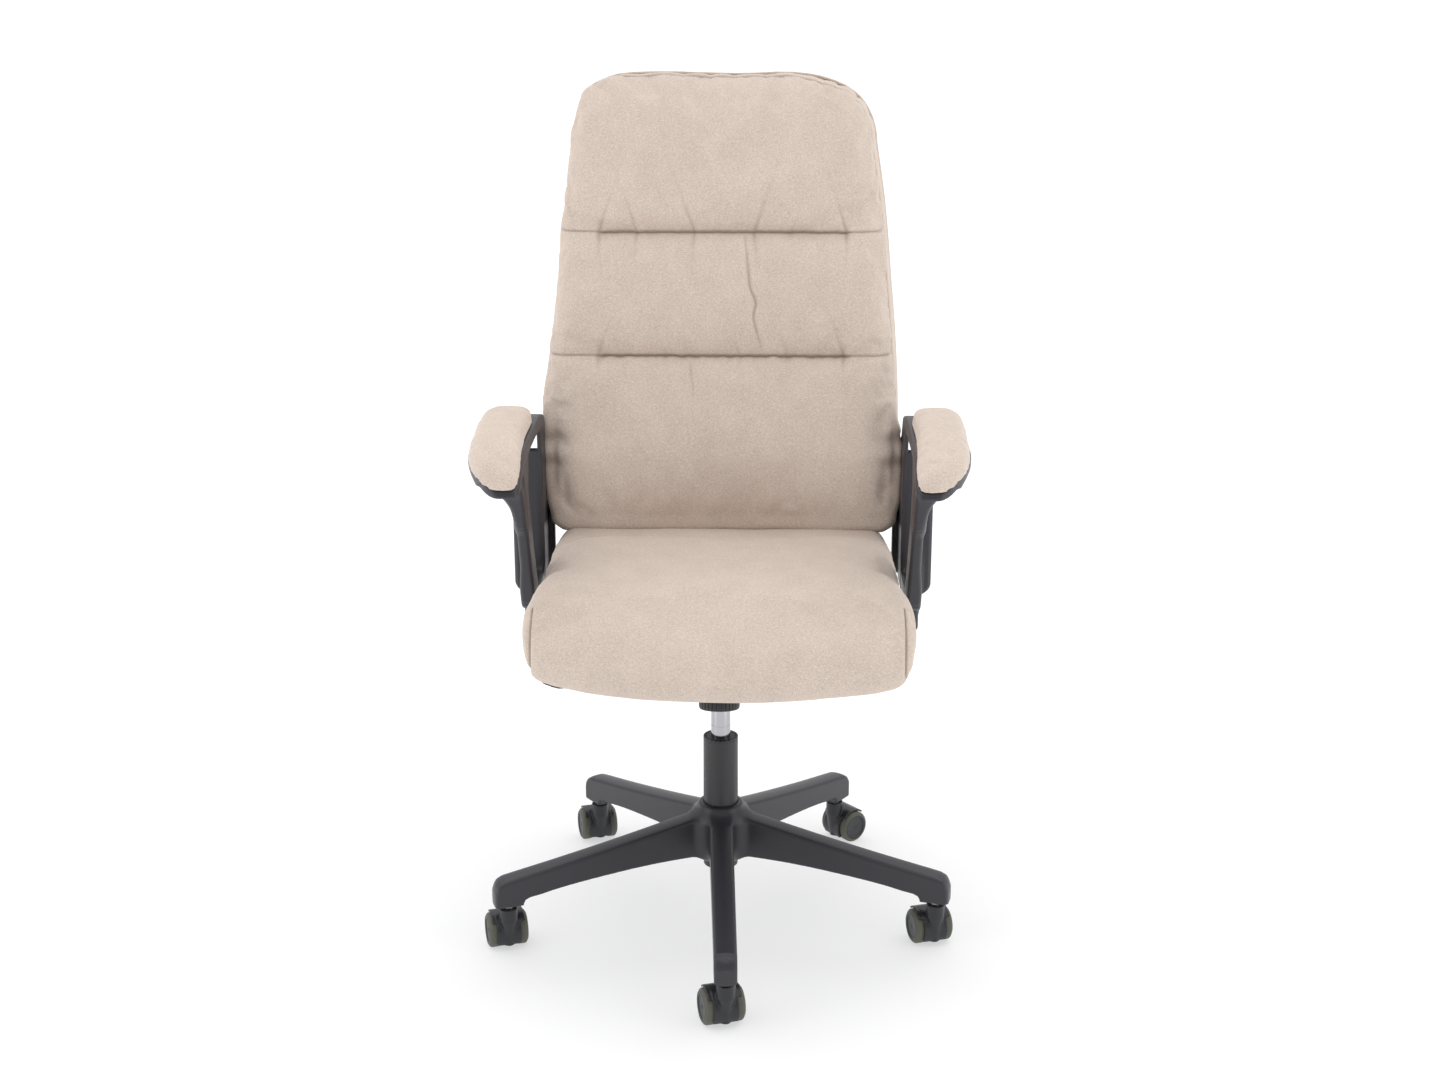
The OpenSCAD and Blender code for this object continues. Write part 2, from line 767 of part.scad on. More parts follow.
module arm_frame(side) {
    color(BLACK) mirror([side < 0 ? 1 : 0, 0, 0]) difference() {
        union() {
            side_bar(arm_in_x, arm_t) arm_loop_side();
            arm_rear_leg();
            intersection() {
                side_bar(arm_in_x - 2, 80) arm_tray_side();
                translate([0, 0, 650]) linear_extrude(100) arm_tray_plan();
            }
            arm_web();
            translate([190, 34, lug_z]) cube([arm_in_x + 10 - 190, 92, 5]);
            for (z = cheek_bolt_z)
                x_rod(cheek_x + cheek_t, cheek_bolt_y, z, boss_r, arm_in_x - cheek_x - cheek_t + 1);
        }
        translate([arm_in_x + 10, 100, rear_leg_top_z]) cube([80, 100, 16]);
        for (y = lug_bolt_y) translate([lug_bolt_x, y, lug_z - 1]) cylinder(h = 10, r = 4);
        for (z = cheek_bolt_z) x_rod(240, cheek_bolt_y, z, 4, 80);
    }
}

module arm_pad_plan() {
    outer = arm_in_x + pad_w;
    polygon(concat(
        arc([arm_in_x + 11, -206], 11, 180, 270, 4), arc([outer - 57, -160], 57, 270, 360),
        arc([outer - 33, 72], 33, 0, 90), arc([arm_in_x + 20, 85], 20, 90, 180, 5)
    ));
}

module arm_pad(side) {
    color(FABRIC) mirror([side < 0 ? 1 : 0, 0, 0]) difference() {
        intersection() {
            side_bar(arm_in_x - 10, pad_w + 20)
                polygon([[-217, 700], [-213, 722], [-198, 738], [-160, pad_top_z - 4], [-110, pad_top_z],
                         [40, pad_top_z], [84, pad_top_z - 6], [105, 738], [105, 690], [-217, 690]]);
            translate([0, 0, 680]) linear_extrude(100) arm_pad_plan();
            translate([arm_in_x + pad_w / 2, 150, 700]) rotate([90, 0, 0]) linear_extrude(400)
                rounded_rect([pad_w, 2 * (pad_top_z - 700)], 22);
        }
        side_bar(arm_in_x - 20, 120)
            polygon(concat([[-260, 640]], tray_top(), [[140, arm_top_z], [140, 640]]));
    }
}

module arm_bolts() {
    color(STEEL) for (s = wheel_sign) {
        for (y = lug_bolt_y) translate([s * lug_bolt_x, y, lug_z]) {
            translate([0, 0, -5]) cylinder(h = 5, r = 7);
            cylinder(h = 14, r = 4);
        }
        for (z = cheek_bolt_z) mirror([s < 0 ? 1 : 0, 0, 0]) {
            x_rod(302, cheek_bolt_y, z, 7, 5);
            x_rod(242, cheek_bolt_y, z, 4, 60);
        }
    }
}

star_base();
caster_stems();
for (k = [0 : 4]) {
    caster_hood(k);
    caster_axle(k);
    for (w = [0, 1]) {
        wheel_core(k, w);
        wheel_tread(k, w);
    }
}
column_tube();
column_bushing();
retaining_clip();
thrust_bearing();
piston_rod();
gas_cylinder();
release_button();
tilt_housing();
seat_plate();
pivot_pin();
tension_bolt();
tension_spring();
spring_cup();
tension_knob();
lock_slider();
lever_rod();
lever_paddle();
seat_board();
seat_cushion();
seat_bolts();
back_board();
back_cushion();
back_panel();
arm_frame(-1);  // arm_frame_left
arm_frame(1);  // arm_frame_right
arm_pad(-1);  // arm_pad_left
arm_pad(1);  // arm_pad_right
arm_bolts();
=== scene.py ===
"""Looks of the swivel office chair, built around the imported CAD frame.

Lengths are in millimetres, apart from the stage, the lights and the camera, which are in metres.
"""
import json
import math

import bpy
import numpy as np
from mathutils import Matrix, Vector


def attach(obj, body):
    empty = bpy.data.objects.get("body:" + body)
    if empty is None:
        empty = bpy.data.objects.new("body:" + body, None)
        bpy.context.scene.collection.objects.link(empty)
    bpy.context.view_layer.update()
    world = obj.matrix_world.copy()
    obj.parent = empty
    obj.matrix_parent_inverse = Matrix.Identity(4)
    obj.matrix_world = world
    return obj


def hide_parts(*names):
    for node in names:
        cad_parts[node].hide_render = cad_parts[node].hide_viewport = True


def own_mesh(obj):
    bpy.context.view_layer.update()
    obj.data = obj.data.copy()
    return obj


MM = 0.001
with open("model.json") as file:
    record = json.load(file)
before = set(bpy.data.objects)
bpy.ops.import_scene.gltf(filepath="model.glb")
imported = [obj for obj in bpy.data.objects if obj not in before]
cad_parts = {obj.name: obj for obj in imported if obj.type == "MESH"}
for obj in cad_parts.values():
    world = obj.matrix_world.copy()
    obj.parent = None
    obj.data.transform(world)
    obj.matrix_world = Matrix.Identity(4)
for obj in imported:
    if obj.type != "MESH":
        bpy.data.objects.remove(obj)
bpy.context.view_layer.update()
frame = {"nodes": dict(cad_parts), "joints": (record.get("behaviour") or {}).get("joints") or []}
JOINTS = {j["name"]: j for j in frame["joints"]}
CASTERS = ["front", "right", "rear_right", "rear_left", "left"]
HOLE_R = 4.05       # a clearance hole for the 8 mm bolts, stems and axles


def joint_point(name):
    return np.array(JOINTS[name]["pos_m"]) / MM


# ---------------------------------------------------------------- distance fields
# A field gives the distance from points (an N by 3 array) to a surface, negative inside.

def rounded_slab(d_side, d_height, r):
    """A shape from its distances to the side and to the ends, its edges rounded by r."""
    a, b = d_side + r, d_height + r
    return np.hypot(np.maximum(a, 0), np.maximum(b, 0)) + np.minimum(np.maximum(a, b), 0) - r


def rect(u, v, half_u, half_v, r):
    """Distance to a rounded rectangle centred on the origin."""
    return rounded_slab(np.abs(u) - half_u, np.abs(v) - half_v, r)


def step_between(a, b, x):
    """0 below a and 1 above b, smooth between."""
    t = np.clip((x - a) / (b - a), 0, 1)
    return t * t * (3 - 2 * t)


def join(a, b, k):
    """Both shapes, with a fillet of about k between them."""
    h = np.clip(0.5 + 0.5 * (b - a) / k, 0, 1)
    return b * (1 - h) + a * h - k * h * (1 - h)


def overlap(a, b, k):
    """The shape common to both, with its edge rounded by about k."""
    return -join(-a, -b, k)


def cut(a, b, k):
    """The first shape without the second, with its edge rounded by about k."""
    return -join(-a, b, k)


def polygon_distance(u, v, outline):
    """Signed distance to a closed outline, negative inside."""
    best = np.full(u.shape, 1e18)
    inside = np.zeros(u.shape, bool)
    outline = np.asarray(outline, float)
    for (ax, ay), (bx, by) in zip(outline, np.roll(outline, -1, axis=0)):
        ex, ey = bx - ax, by - ay
        t = np.clip(((u - ax) * ex + (v - ay) * ey) / (ex * ex + ey * ey), 0, 1)
        best = np.minimum(best, (u - ax - t * ex) ** 2 + (v - ay - t * ey) ** 2)
        if ay != by:
            crosses = (ay > v) != (by > v)
            inside ^= crosses & (u < ax + ex * (v - ay) / ey)
    return np.where(inside, -1, 1) * np.sqrt(best)


def surface_net(field, low, high, step, block=8):
    """Vertices, quads and normals of the surface where the field is zero.

    The field is sampled on a grid of the given step. Blocks of cells far from the surface are skipped.
    """
    low = np.asarray(low, float) - 2 * step
    blocks = np.ceil((np.asarray(high, float) + 2 * step - low) / (step * block)).astype(int)
    centres = [low[i] + step * block * (np.arange(blocks[i]) + 0.5) for i in range(3)]
    grid = np.stack(np.meshgrid(*centres, indexing="ij"), -1).reshape(-1, 3)
    far = field(grid).reshape(blocks)
    near = np.abs(far) < step * block * 1.25 + 2
    values, active = np.where(far < 0, -1e3, 1e3), near
    for axis in range(3):
        values, active = np.repeat(values, block, axis), np.repeat(active, block, axis)
    n = blocks * block
    values = np.pad(values, ((0, 1),) * 3, mode="edge")
    active = np.argwhere(np.pad(active, ((0, 1),) * 3, mode="edge"))
    for start in range(0, len(active), 400000):
        some = active[start:start + 400000]
        values[tuple(some.T)] = field(low + step * some)
    inside = values < 0
    corners = [(a, b, c) for a in (0, 1) for b in (0, 1) for c in (0, 1)]
    filled = sum(inside[a:a + n[0], b:b + n[1], c:c + n[2]].astype(np.int8) for a, b, c in corners)
    cells = np.argwhere((filled > 0) & (filled < 8))
    index = np.full(n, -1, np.int64)
    index[tuple(cells.T)] = np.arange(len(cells))
    total, hits = np.zeros((len(cells), 3)), np.zeros(len(cells))
    unit = np.eye(3, dtype=int)
    for axis in range(3):
        for corner in corners:
            if corner[axis]:
                continue
            a = cells + np.array(corner)
            va, vb = values[tuple(a.T)], values[tuple((a + unit[axis]).T)]
            crossed = (va < 0) != (vb < 0)
            t = va[crossed] / (va[crossed] - vb[crossed])
            total[crossed] += a[crossed] + t[:, None] * unit[axis]
            hits[crossed] += 1
    verts = low + step * total / hits[:, None]
    quads = []
    for axis, u, v in ((0, 1, 2), (1, 2, 0), (2, 0, 1)):
        lower = np.take(inside, range(n[axis]), axis)
        upper = np.take(inside, range(1, n[axis] + 1), axis)
        edges = np.argwhere(lower != upper)
        ok = (edges[:, u] >= 1) & (edges[:, v] >= 1) & (edges[:, u] < n[u]) & (edges[:, v] < n[v])
        edges = edges[ok]
        outward = lower[tuple(edges.T)]
        around = ((1, 1), (0, 1), (0, 0), (1, 0))
        quad = np.stack([index[tuple((edges - a * unit[u] - b * unit[v]).T)] for a, b in around], -1)
        quad[~outward] = quad[~outward][:, ::-1]
        quads.append(quad)
    h = 0.25 * step
    # two steps onto the surface, then the normals there
    for last in (False, False, True):
        slope = np.stack([(field(verts + h * e) - field(verts - h * e)) / (2 * h) for e in np.eye(3)], -1)
        size = np.maximum((slope ** 2).sum(-1), 0.2)[:, None]
        if not last:
            verts = verts - np.clip(field(verts)[:, None] * slope / size, -0.6 * step, 0.6 * step)
    return verts, np.concatenate(quads), slope / np.sqrt(size)


# ---------------------------------------------------------------- mesh making

def new_mesh(name, verts, faces, shading=None):
    """A mesh object from millimetre vertices. shading holds a normal for each vertex."""
    mesh = bpy.data.meshes.new(name)
    verts = np.asarray(verts, float) * MM
    if isinstance(faces, np.ndarray):
        mesh.vertices.add(len(verts))
        mesh.vertices.foreach_set("co", verts.ravel())
        size = faces.shape[1]
        mesh.loops.add(faces.size)
        mesh.loops.foreach_set("vertex_index", faces.ravel().astype(np.int32))
        mesh.polygons.add(len(faces))
        mesh.polygons.foreach_set("loop_start", np.arange(0, faces.size, size, dtype=np.int32))
        mesh.update(calc_edges=True)
    else:
        mesh.from_pydata([tuple(p) for p in verts], [], faces)
    mesh.polygons.foreach_set("use_smooth", [True] * len(mesh.polygons))
    mesh.update()
    if shading is not None:
        mesh.normals_split_custom_set_from_vertices(shading.tolist())
    obj = bpy.data.objects.new(name, mesh)
    bpy.context.scene.collection.objects.link(obj)
    return obj


def install(obj, body, material, slot, *nodes):
    """Gives a piece its material and its body, and hides the CAD nodes that it stands for. The slot is not
    used.
    """
    obj.data.materials.clear()
    obj.data.materials.append(material)
    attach(obj, body)
    if nodes:
        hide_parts(*nodes)


def coords(obj):
    co = np.empty(len(obj.data.vertices) * 3)
    obj.data.vertices.foreach_get("co", co)
    return co.reshape(-1, 3) / MM


def set_coords(obj, co):
    obj.data.vertices.foreach_set("co", (np.asarray(co) * MM).ravel())
    obj.data.update()


def normals(obj):
    out = np.empty(len(obj.data.vertices) * 3)
    obj.data.vertex_normals.foreach_get("vector", out)
    return out.reshape(-1, 3)


def subdivide(obj, levels=1):
    mod = obj.modifiers.new("subdivide", "SUBSURF")
    mod.levels = mod.render_levels = levels
    dg = bpy.context.evaluated_depsgraph_get()
    mesh = bpy.data.meshes.new_from_object(obj.evaluated_get(dg))
    old = obj.data
    obj.modifiers.clear()
    obj.data = mesh
    bpy.data.meshes.remove(old)
    mesh.name = obj.name


def turned(points, angle):
    """Points turned about Z by an angle in radians."""
    c, s = math.cos(angle), math.sin(angle)
    return np.asarray(points) @ np.array([[c, s, 0], [-s, c, 0], [0, 0, 1]])


def lathe(profile, steps=96, wobble=None):
    """Vertices and faces of a closed profile of (radius, height) points turned about Z.

    wobble(angle, radius, height) gives the radius of a point that isn't round.
    """
    rows = len(profile)
    verts = []
    for i in range(steps):
        a = 2 * math.pi * i / steps
        for r, z in profile:
            rr = wobble(a, r, z) if wobble else r
            verts.append((rr * math.cos(a), rr * math.sin(a), z))
    faces = []
    for i in range(steps):
        j = (i + 1) % steps
        for k in range(rows):
            m = (k + 1) % rows
            if m == 0 and profile[0][0] == 0 and profile[-1][0] == 0:
                continue
            faces.append((i * rows + k, j * rows + k, j * rows + m, i * rows + m))
    return np.array(verts), np.array(faces)


def arc(cx, cy, r, start, end, steps=6):
    angles = np.radians(np.linspace(start, end, steps + 1))
    return [(cx + r * math.cos(a), cy + r * math.sin(a)) for a in angles]


def smooth_path(points, per=8):
    """A Catmull-Rom curve through the points."""
    p = [np.array(q, float) for q in points]
    p = [2 * p[0] - p[1]] + p + [2 * p[-1] - p[-2]]
    out = []
    for i in range(1, len(p) - 2):
        for t in np.linspace(0, 1, per, endpoint=False):
            a, b, c, d = p[i - 1:i + 3]
            out.append(0.5 * (2 * b + (c - a) * t + (2 * a - 5 * b + 4 * c - d) * t ** 2
                              + (3 * b - a - 3 * c + d) * t ** 3))
    return np.array(out + [p[-2]])


def tube(path, r, sides=12, closed=False):
    """A round tube along a path, with flat ends unless the path is closed."""
    path = np.asarray(path, float)
    n = len(path)
    tangent = np.gradient(path, axis=0)
    if closed:
        tangent = np.roll(path, -1, axis=0) - np.roll(path, 1, axis=0)
    tangent /= np.linalg.norm(tangent, axis=1)[:, None]
    side = np.cross(tangent[0], [0.13, 0.2, 1.0])
    verts, faces = [], []
    for i in range(n):
        side = side - tangent[i] * (side @ tangent[i])
        side /= np.linalg.norm(side)
        up = np.cross(tangent[i], side)
        for j in range(sides):
            a = 2 * math.pi * j / sides
            verts.append(path[i] + r * (math.cos(a) * side + math.sin(a) * up))
    for i in range(n if closed else n - 1):
        k = (i + 1) % n
        for j in range(sides):
            m = (j + 1) % sides
            faces.append((i * sides + j, i * sides + m, k * sides + m, k * sides + j))
    if not closed:
        faces.append(tuple(range(sides - 1, -1, -1)))
        faces.append(tuple(range((n - 1) * sides, n * sides)))
    return np.array(verts), faces


# ---------------------------------------------------------------- materials

def srgb(r, g, b):
    """Linear colour from screen values of 0 to 255."""
    linear = [v / 255 / 12.92 if v <= 10 else ((v / 255 + 0.055) / 1.055) ** 2.4 for v in (r, g, b)]
    return (*linear, 1.0)


class Nodes:
    """Short ways to add to a node tree. A value is a number or another node's socket."""

    def __init__(self, tree):
        self.tree = tree

    def node(self, kind, **values):
        made = self.tree.nodes.new(kind)
        for key, value in values.items():
            if hasattr(made, key):
                setattr(made, key, value)
            else:
                made.inputs[key.replace("_", " ")].default_value = value
        return made

    def link(self, a, b):
        self.tree.links.new(a, b)

    def math(self, operation, a, b):
        made = self.node("ShaderNodeMath", operation=operation)
        for socket, value in zip(made.inputs, (a, b)):
            if isinstance(value, (int, float)):
                socket.default_value = value
            else:
                self.link(value, socket)
        return made.outputs[0]

    def ramp(self, value, low, high, bottom, top, kind="LINEAR"):
        """Takes low to high onto bottom to top, and no further."""
        made = self.node("ShaderNodeMapRange", interpolation_type=kind, From_Min=low, From_Max=high,
                         To_Min=bottom, To_Max=top)
        self.link(value, made.inputs["Value"])
        return made.outputs["Result"]

    def split(self, vector):
        made = self.node("ShaderNodeSeparateXYZ")
        self.link(vector, made.inputs[0])
        return made.outputs


class Paint(Nodes):
    """A material with a Principled surface."""

    def __init__(self, name, colour, rough, metal=0.0, specular=0.5):
        self.mat = bpy.data.materials.new(name)
        self.mat.use_nodes = True
        super().__init__(self.mat.node_tree)
        self.shader = self.tree.nodes["Principled BSDF"]
        self.set("Base Color", colour)
        self.set("Roughness", rough)
        self.set("Metallic", metal)
        self.set("Specular IOR Level", specular)
        self.place = self.node("ShaderNodeTexCoord").outputs["Object"]

    def set(self, socket, value):
        self.shader.inputs[socket].default_value = value

    def stretched(self, x, y, z):
        """Object coordinates multiplied by three factors."""
        made = self.node("ShaderNodeVectorMath", operation="MULTIPLY")
        made.inputs[1].default_value = (x, y, z)
        self.link(self.place, made.inputs[0])
        return made.outputs[0]

    def noise(self, vector, detail=2.0, rough=0.5):
        made = self.node("ShaderNodeTexNoise", Scale=1.0, Detail=detail, Roughness=rough)
        self.link(vector, made.inputs["Vector"])
        return made.outputs["Fac"]

    def tint(self, value, dark, light):
        """Base colour between two colours, by a value of 0 to 1. Either colour may be a socket."""
        made = self.node("ShaderNodeMix", data_type="RGBA")
        for key, colour in ((6, dark), (7, light)):
            if isinstance(colour, tuple):
                made.inputs[key].default_value = colour
            else:
                self.link(colour, made.inputs[key])
        self.link(value, made.inputs["Factor"])
        self.link(made.outputs[2], self.shader.inputs["Base Color"])
        return made.outputs[2]

    def bump(self, value, height, strength=1.0):
        made = self.node("ShaderNodeBump", Distance=height, Strength=strength)
        self.link(value, made.inputs["Height"])
        self.link(made.outputs["Normal"], self.shader.inputs["Normal"])


def fabric(name, dark, light):
    """Melange weave: short threads both ways, a little broad mottling, and painted shade in seams and
    creases.
    """
    m = Paint(name, light, 0.95, specular=0.15)
    across = m.noise(m.stretched(330, 900, 1150), 1.5)
    along = m.noise(m.stretched(1150, 900, 330), 1.5)
    threads = m.math("ADD", m.math("MULTIPLY", across, 0.5), m.math("MULTIPLY", along, 0.5))
    broad = m.noise(m.stretched(26, 26, 20), 3.0)
    mixed = m.math("ADD", m.ramp(threads, 0.36, 0.64, 0.0, 0.82), m.ramp(broad, 0.3, 0.7, 0.0, 0.18))
    woven = m.tint(mixed, dark, light)
    # painted shade: the colour darkens towards a deep brown where the stored crease shade is high, in seams,
    # channels, folds and pinches
    painted_shade = m.node("ShaderNodeAttribute", attribute_name="painted_shade").outputs["Fac"]
    m.tint(painted_shade, woven, srgb(112, 92, 78))
    m.bump(threads, 0.0007, 0.35)
    m.set("Sheen Weight", 0.35)
    m.set("Sheen Roughness", 0.45)
    m.set("Sheen Tint", (1.0, 0.95, 0.9, 1.0))
    return m.mat


def moulded(name, colour, rough, grain=900, depth=0.00012, specular=0.5):
    """Moulded plastic with a fine spark texture."""
    m = Paint(name, colour, rough, specular=specular)
    spark = m.noise(m.stretched(grain, grain, grain), 3.0, 0.6)
    m.bump(spark, depth, 0.6)
    m.link(m.ramp(spark, 0.3, 0.7, rough - 0.05, rough + 0.07), m.shader.inputs["Roughness"])
    return m.mat


def metal(name, colour, rough, streak=(40, 40, 40), spread=0.08):
    """Bare metal whose roughness varies along streaks."""
    m = Paint(name, colour, rough, metal=1.0)
    lines = m.noise(m.stretched(*streak), 2.0)
    varied = m.ramp(lines, 0.3, 0.7, max(rough - spread, 0.02), rough + spread)
    m.link(varied, m.shader.inputs["Roughness"])
    return m.mat


def plywood():
    m = Paint("birch_plywood", srgb(196, 158, 112), 0.6, specular=0.3)
    grain = m.noise(m.stretched(14, 130, 130), 4.0, 0.6)
    m.tint(m.ramp(grain, 0.35, 0.65, 0.0, 1.0), srgb(176, 136, 92), srgb(214, 180, 134))
    m.bump(grain, 0.0003, 0.4)
    return m.mat


FABRIC = fabric("beige_fabric", srgb(186, 170, 158), srgb(223, 208, 196))
NYLON = moulded("black_nylon", (0.029, 0.0285, 0.036, 1), 0.38)
HOOD = moulded("caster_nylon", (0.017, 0.018, 0.022, 1), 0.36, 500, 0.00005)
CAP = moulded("wheel_cap", (0.030, 0.031, 0.036, 1), 0.42, 600, 0.00005)
TREAD = moulded("soft_tread", (0.105, 0.106, 0.082, 1), 0.55, 400, 0.00008, 0.4)
TUBE = moulded("powder_coat", (0.026, 0.025, 0.028, 1), 0.40, 1400, 0.00006)
BLACK = moulded("black_plastic", (0.016, 0.016, 0.018, 1), 0.42)
HOUSING = moulded("housing_paint", (0.022, 0.022, 0.023, 1), 0.5, 700, 0.0001)
STEEL = metal("bright_steel", (0.62, 0.62, 0.63, 1), 0.30)
CHROME = metal("drawn_cylinder", (0.42, 0.42, 0.44, 1), 0.14, (5, 5, 900), 0.03)
SPRING = metal("spring_steel", (0.22, 0.22, 0.24, 1), 0.38)
RED = Paint("red_plastic", srgb(176, 32, 26), 0.3).mat
PLY = plywood()
FELT = moulded("dust_cover", (0.035, 0.034, 0.036, 1), 0.9, 2200, 0.0001, 0.2)


# ---------------------------------------------------------------- base

STEMS = {c: joint_point("caster_swivel_" + c) for c in CASTERS}
STEM_R = math.hypot(*STEMS["front"][:2])
LEAD = math.atan2(STEMS["front"][1], STEMS["front"][0])
FOLD = math.radians(72)
LEG_ROOT = 47       # where the slopes of a leg start, from the column's axis
COLUMN_BORE_R = 25.05


def leg_half(u):
    """Half the width of a leg at the distance u from the column's axis."""
    return 17 - 1.5 * np.clip(u - LEG_ROOT, 0, 300) / 296


def leg_height(u, start, slope, bend):
    return start + slope * (u - LEG_ROOT) + bend * (u - LEG_ROOT) ** 2


LEG_TOP = [(u, leg_height(u, 170, -0.2268, 1.1076e-4)) for u in range(20, 318, 16)]
LEG_LOW = [(u, leg_height(u, 110, -0.00305, -4.573e-4)) for u in range(276, 20, -16)]
LEG_TIP = [(326, 115.0), (334, 111.0), (340, 104.5), (343, 96), (343.3, 84), (343, 72), (300, 72),
           (299.5, 76), (297, 80.5), (291, 83.2)]
LEG_SIDE = [(-10, 182)] + LEG_TOP + LEG_TIP + LEG_LOW + [(-10, 111)]


def leg_field(u, v, z):
    """One leg of the star, pointing along u, with a crowned top and a rounded, sloped tip."""
    half = leg_half(u)
    crown = 2.5 * np.clip(v / half, -1.2, 1.2) ** 2 * step_between(90, 104, z)
    side = polygon_distance(u, z + crown, LEG_SIDE)
    plan = np.maximum(np.abs(v) - half, rect(u - STEM_R + 177.5, v, 200, 17, 12))
    body = rounded_slab(side, plan, 4.5)
    spoon = 0.90 * (u - STEM_R - 21.5) + 0.43 * (z - 98) + 1.6 * np.abs(v) / 10
    return overlap(body, np.maximum(spoon, side), 3)


def star_field(p):
    """Five legs folded into one sector, the hub, and the ribbed channels underneath."""
    x, y, z = p.T
    r = np.hypot(x, y)
    a = (np.arctan2(y, x) - LEAD + FOLD / 2) % FOLD - FOLD / 2
    b = a - np.where(a < 0, -FOLD, FOLD)
    u, v = r * np.cos(a), r * np.sin(a)
    body = join(leg_field(u, v, z), leg_field(r * np.cos(b), r * np.sin(b), z), 26)
    hub = rounded_slab(r - 37, np.abs(z - 139) - 28, 8)
    neck = rounded_slab(r - 31, np.abs(z - 155) - 30, 2.5)
    body = join(body, join(hub, neck, 12), 16)
    wall = 4.5
    ceiling = z - 163 + 0.2 * (u - LEG_ROOT)
    hollow = np.maximum.reduce([np.abs(v) - leg_half(u) + wall, ceiling, 57 - u, u - 294])
    rib = np.maximum(np.abs((u - 79) % 46 - 23) - 2, np.abs(u - 171) - 80)
    body = cut(body, np.maximum(hollow, -rib), 1.5)
    return cut(body, r - COLUMN_BORE_R, 0.6)


star = new_mesh("star_base_look", *surface_net(star_field, (-345, -345, 72), (345, 345, 186), 2.2))
install(star, "base", NYLON, "black_nylon", "star_base")


# ---------------------------------------------------------------- casters

# A wheel's axle runs along X, this far behind the stem and above the floor.
AXLE_Y, AXLE_Z = 20, 25
WHEEL_ROOM_R = 25.7
WHEEL_GAP = 10.5    # from the middle of the caster to the inner side of a wheel


def at_caster(points, caster):
    """Points about a stem, turned and moved to that caster."""
    axis = JOINTS[f"wheel_spin_{caster}_l"]["axis"]
    out = turned(points, math.atan2(axis[1], axis[0]))
    return out + np.array([*STEMS[caster][:2], 0])


def hood_field(p):
    """A caster's hood: the web between the wheels, the fender over them and the stem's boss."""
    x, y, z = p.T
    yy, zz = y - AXLE_Y, z - AXLE_Z
    r = np.hypot(yy, zz)
    about = np.degrees(np.arctan2(zz, yy)) % 360
    wide = np.abs(x)

    def shell(inner, outer, half, start, end):
        """Part of a ring about the axle, between two angles."""
        middle, span = (start + end) / 2, (end - start) / 2
        along = (np.abs((about - middle + 180) % 360 - 180) - span) * 0.45
        through = np.abs(r - (inner + outer) / 2) - (outer - inner) / 2
        return np.maximum(rounded_slab(through, wide - half, 1.4), along)

    web = rounded_slab(np.maximum.reduce([r - 26, yy - 11, -15.5 - zz]), wide - 10, 1.5)
    front = overlap(shell(21, 28.8, 17.5, 80, 222), -15.5 - zz, 2)
    fender = shell(25.8, 28.8, 23.5, 52, 136)
    cone = 6 + 7 * np.clip((z - 14) / 34, 0, 1)
    boss = np.maximum(overlap(np.hypot(x, y + 1.5) - cone, z - 68, 2), 9.5 - z)
    body = join(join(web, front, 3), fender, 2)
    body = join(body, boss, 2.2)
    wheel_room = np.maximum(r - WHEEL_ROOM_R, 10.1 - wide)
    body = cut(body, wheel_room, 0.5)
    collar = np.maximum(np.hypot(x, y) - 9.5, 64 - z)
    body = cut(body, collar, 0.8)
    stem_bore = np.maximum(np.hypot(x, y) - HOLE_R, 37.5 - z)
    return cut(body, stem_bore, 0.2)


hood_verts, hood_faces, hood_shade = surface_net(hood_field, (-25, -16, 8), (25, 48, 69), 0.9)

CORE_PROFILE = ([(HOLE_R, 0), (9, 0), (11, 4), (16.5, 4), (17.5, 1), (19.5, 1), (19.5, 16.6)]
                + arc(18.4, 16.6, 1.1, 0, 90, 4)
                + [(17.0, 17.5), (16.2, 16.4), (12, 16.0), (3.2, 15.6), (3.0, 15.2), (0, 15.1)])
TREAD_PROFILE = ([(19.5, 1), (20.5, 0.5)] + arc(20.6, 4.9, 4.4, -90, 0, 7) + arc(20.6, 12.6, 4.4, 0, 78, 7)
                 + arc(20.3, 17.0, 0.9, 60, 170, 5) + [(19.5, 16.5)])


def wheel_part(name, profile, caster, side, material, slot):
    """A turned piece of one wheel, on the left or right side of its caster."""
    verts, faces = lathe(profile, 72)
    sign = -1 if side == "l" else 1
    verts = np.stack([sign * (WHEEL_GAP + verts[:, 2]), verts[:, 0] + AXLE_Y, verts[:, 1] + AXLE_Z], -1)
    if sign < 0:
        faces = faces[:, ::-1]
    obj = new_mesh(f"{name}_{caster}_{side}_look", at_caster(verts, caster), faces)
    obj.data.set_sharp_from_angle(angle=math.radians(40))
    install(obj, f"wheel_{caster}_{side}", material, slot, f"{name}_{caster}_{side}")


for c in CASTERS:
    shade = turned(hood_shade, math.atan2(*JOINTS[f"wheel_spin_{c}_l"]["axis"][1::-1]))
    hood = new_mesh(f"caster_hood_{c}_look", at_caster(hood_verts, c), hood_faces, shade)
    install(hood, "caster_" + c, HOOD, "caster_nylon", "caster_hood_" + c)
    for s in "lr":
        wheel_part("wheel_core", CORE_PROFILE, c, s, CAP, "wheel_cap")
        wheel_part("wheel_tread", TREAD_PROFILE, c, s, TREAD, "soft_tread")


# ---------------------------------------------------------------- mechanism

KNOB_AXIS = np.array(JOINTS["knob_turn"]["axis"], float)
TRUNNION = joint_point("knob_turn")


def on_bolt(points):
    """Points about the trunnion, leaning with the tension bolt."""
    s, c = KNOB_AXIS[1], KNOB_AXIS[2]
    return np.asarray(points) @ np.array([[1, 0, 0], [0, c, -s], [0, s, c]]) + TRUNNION


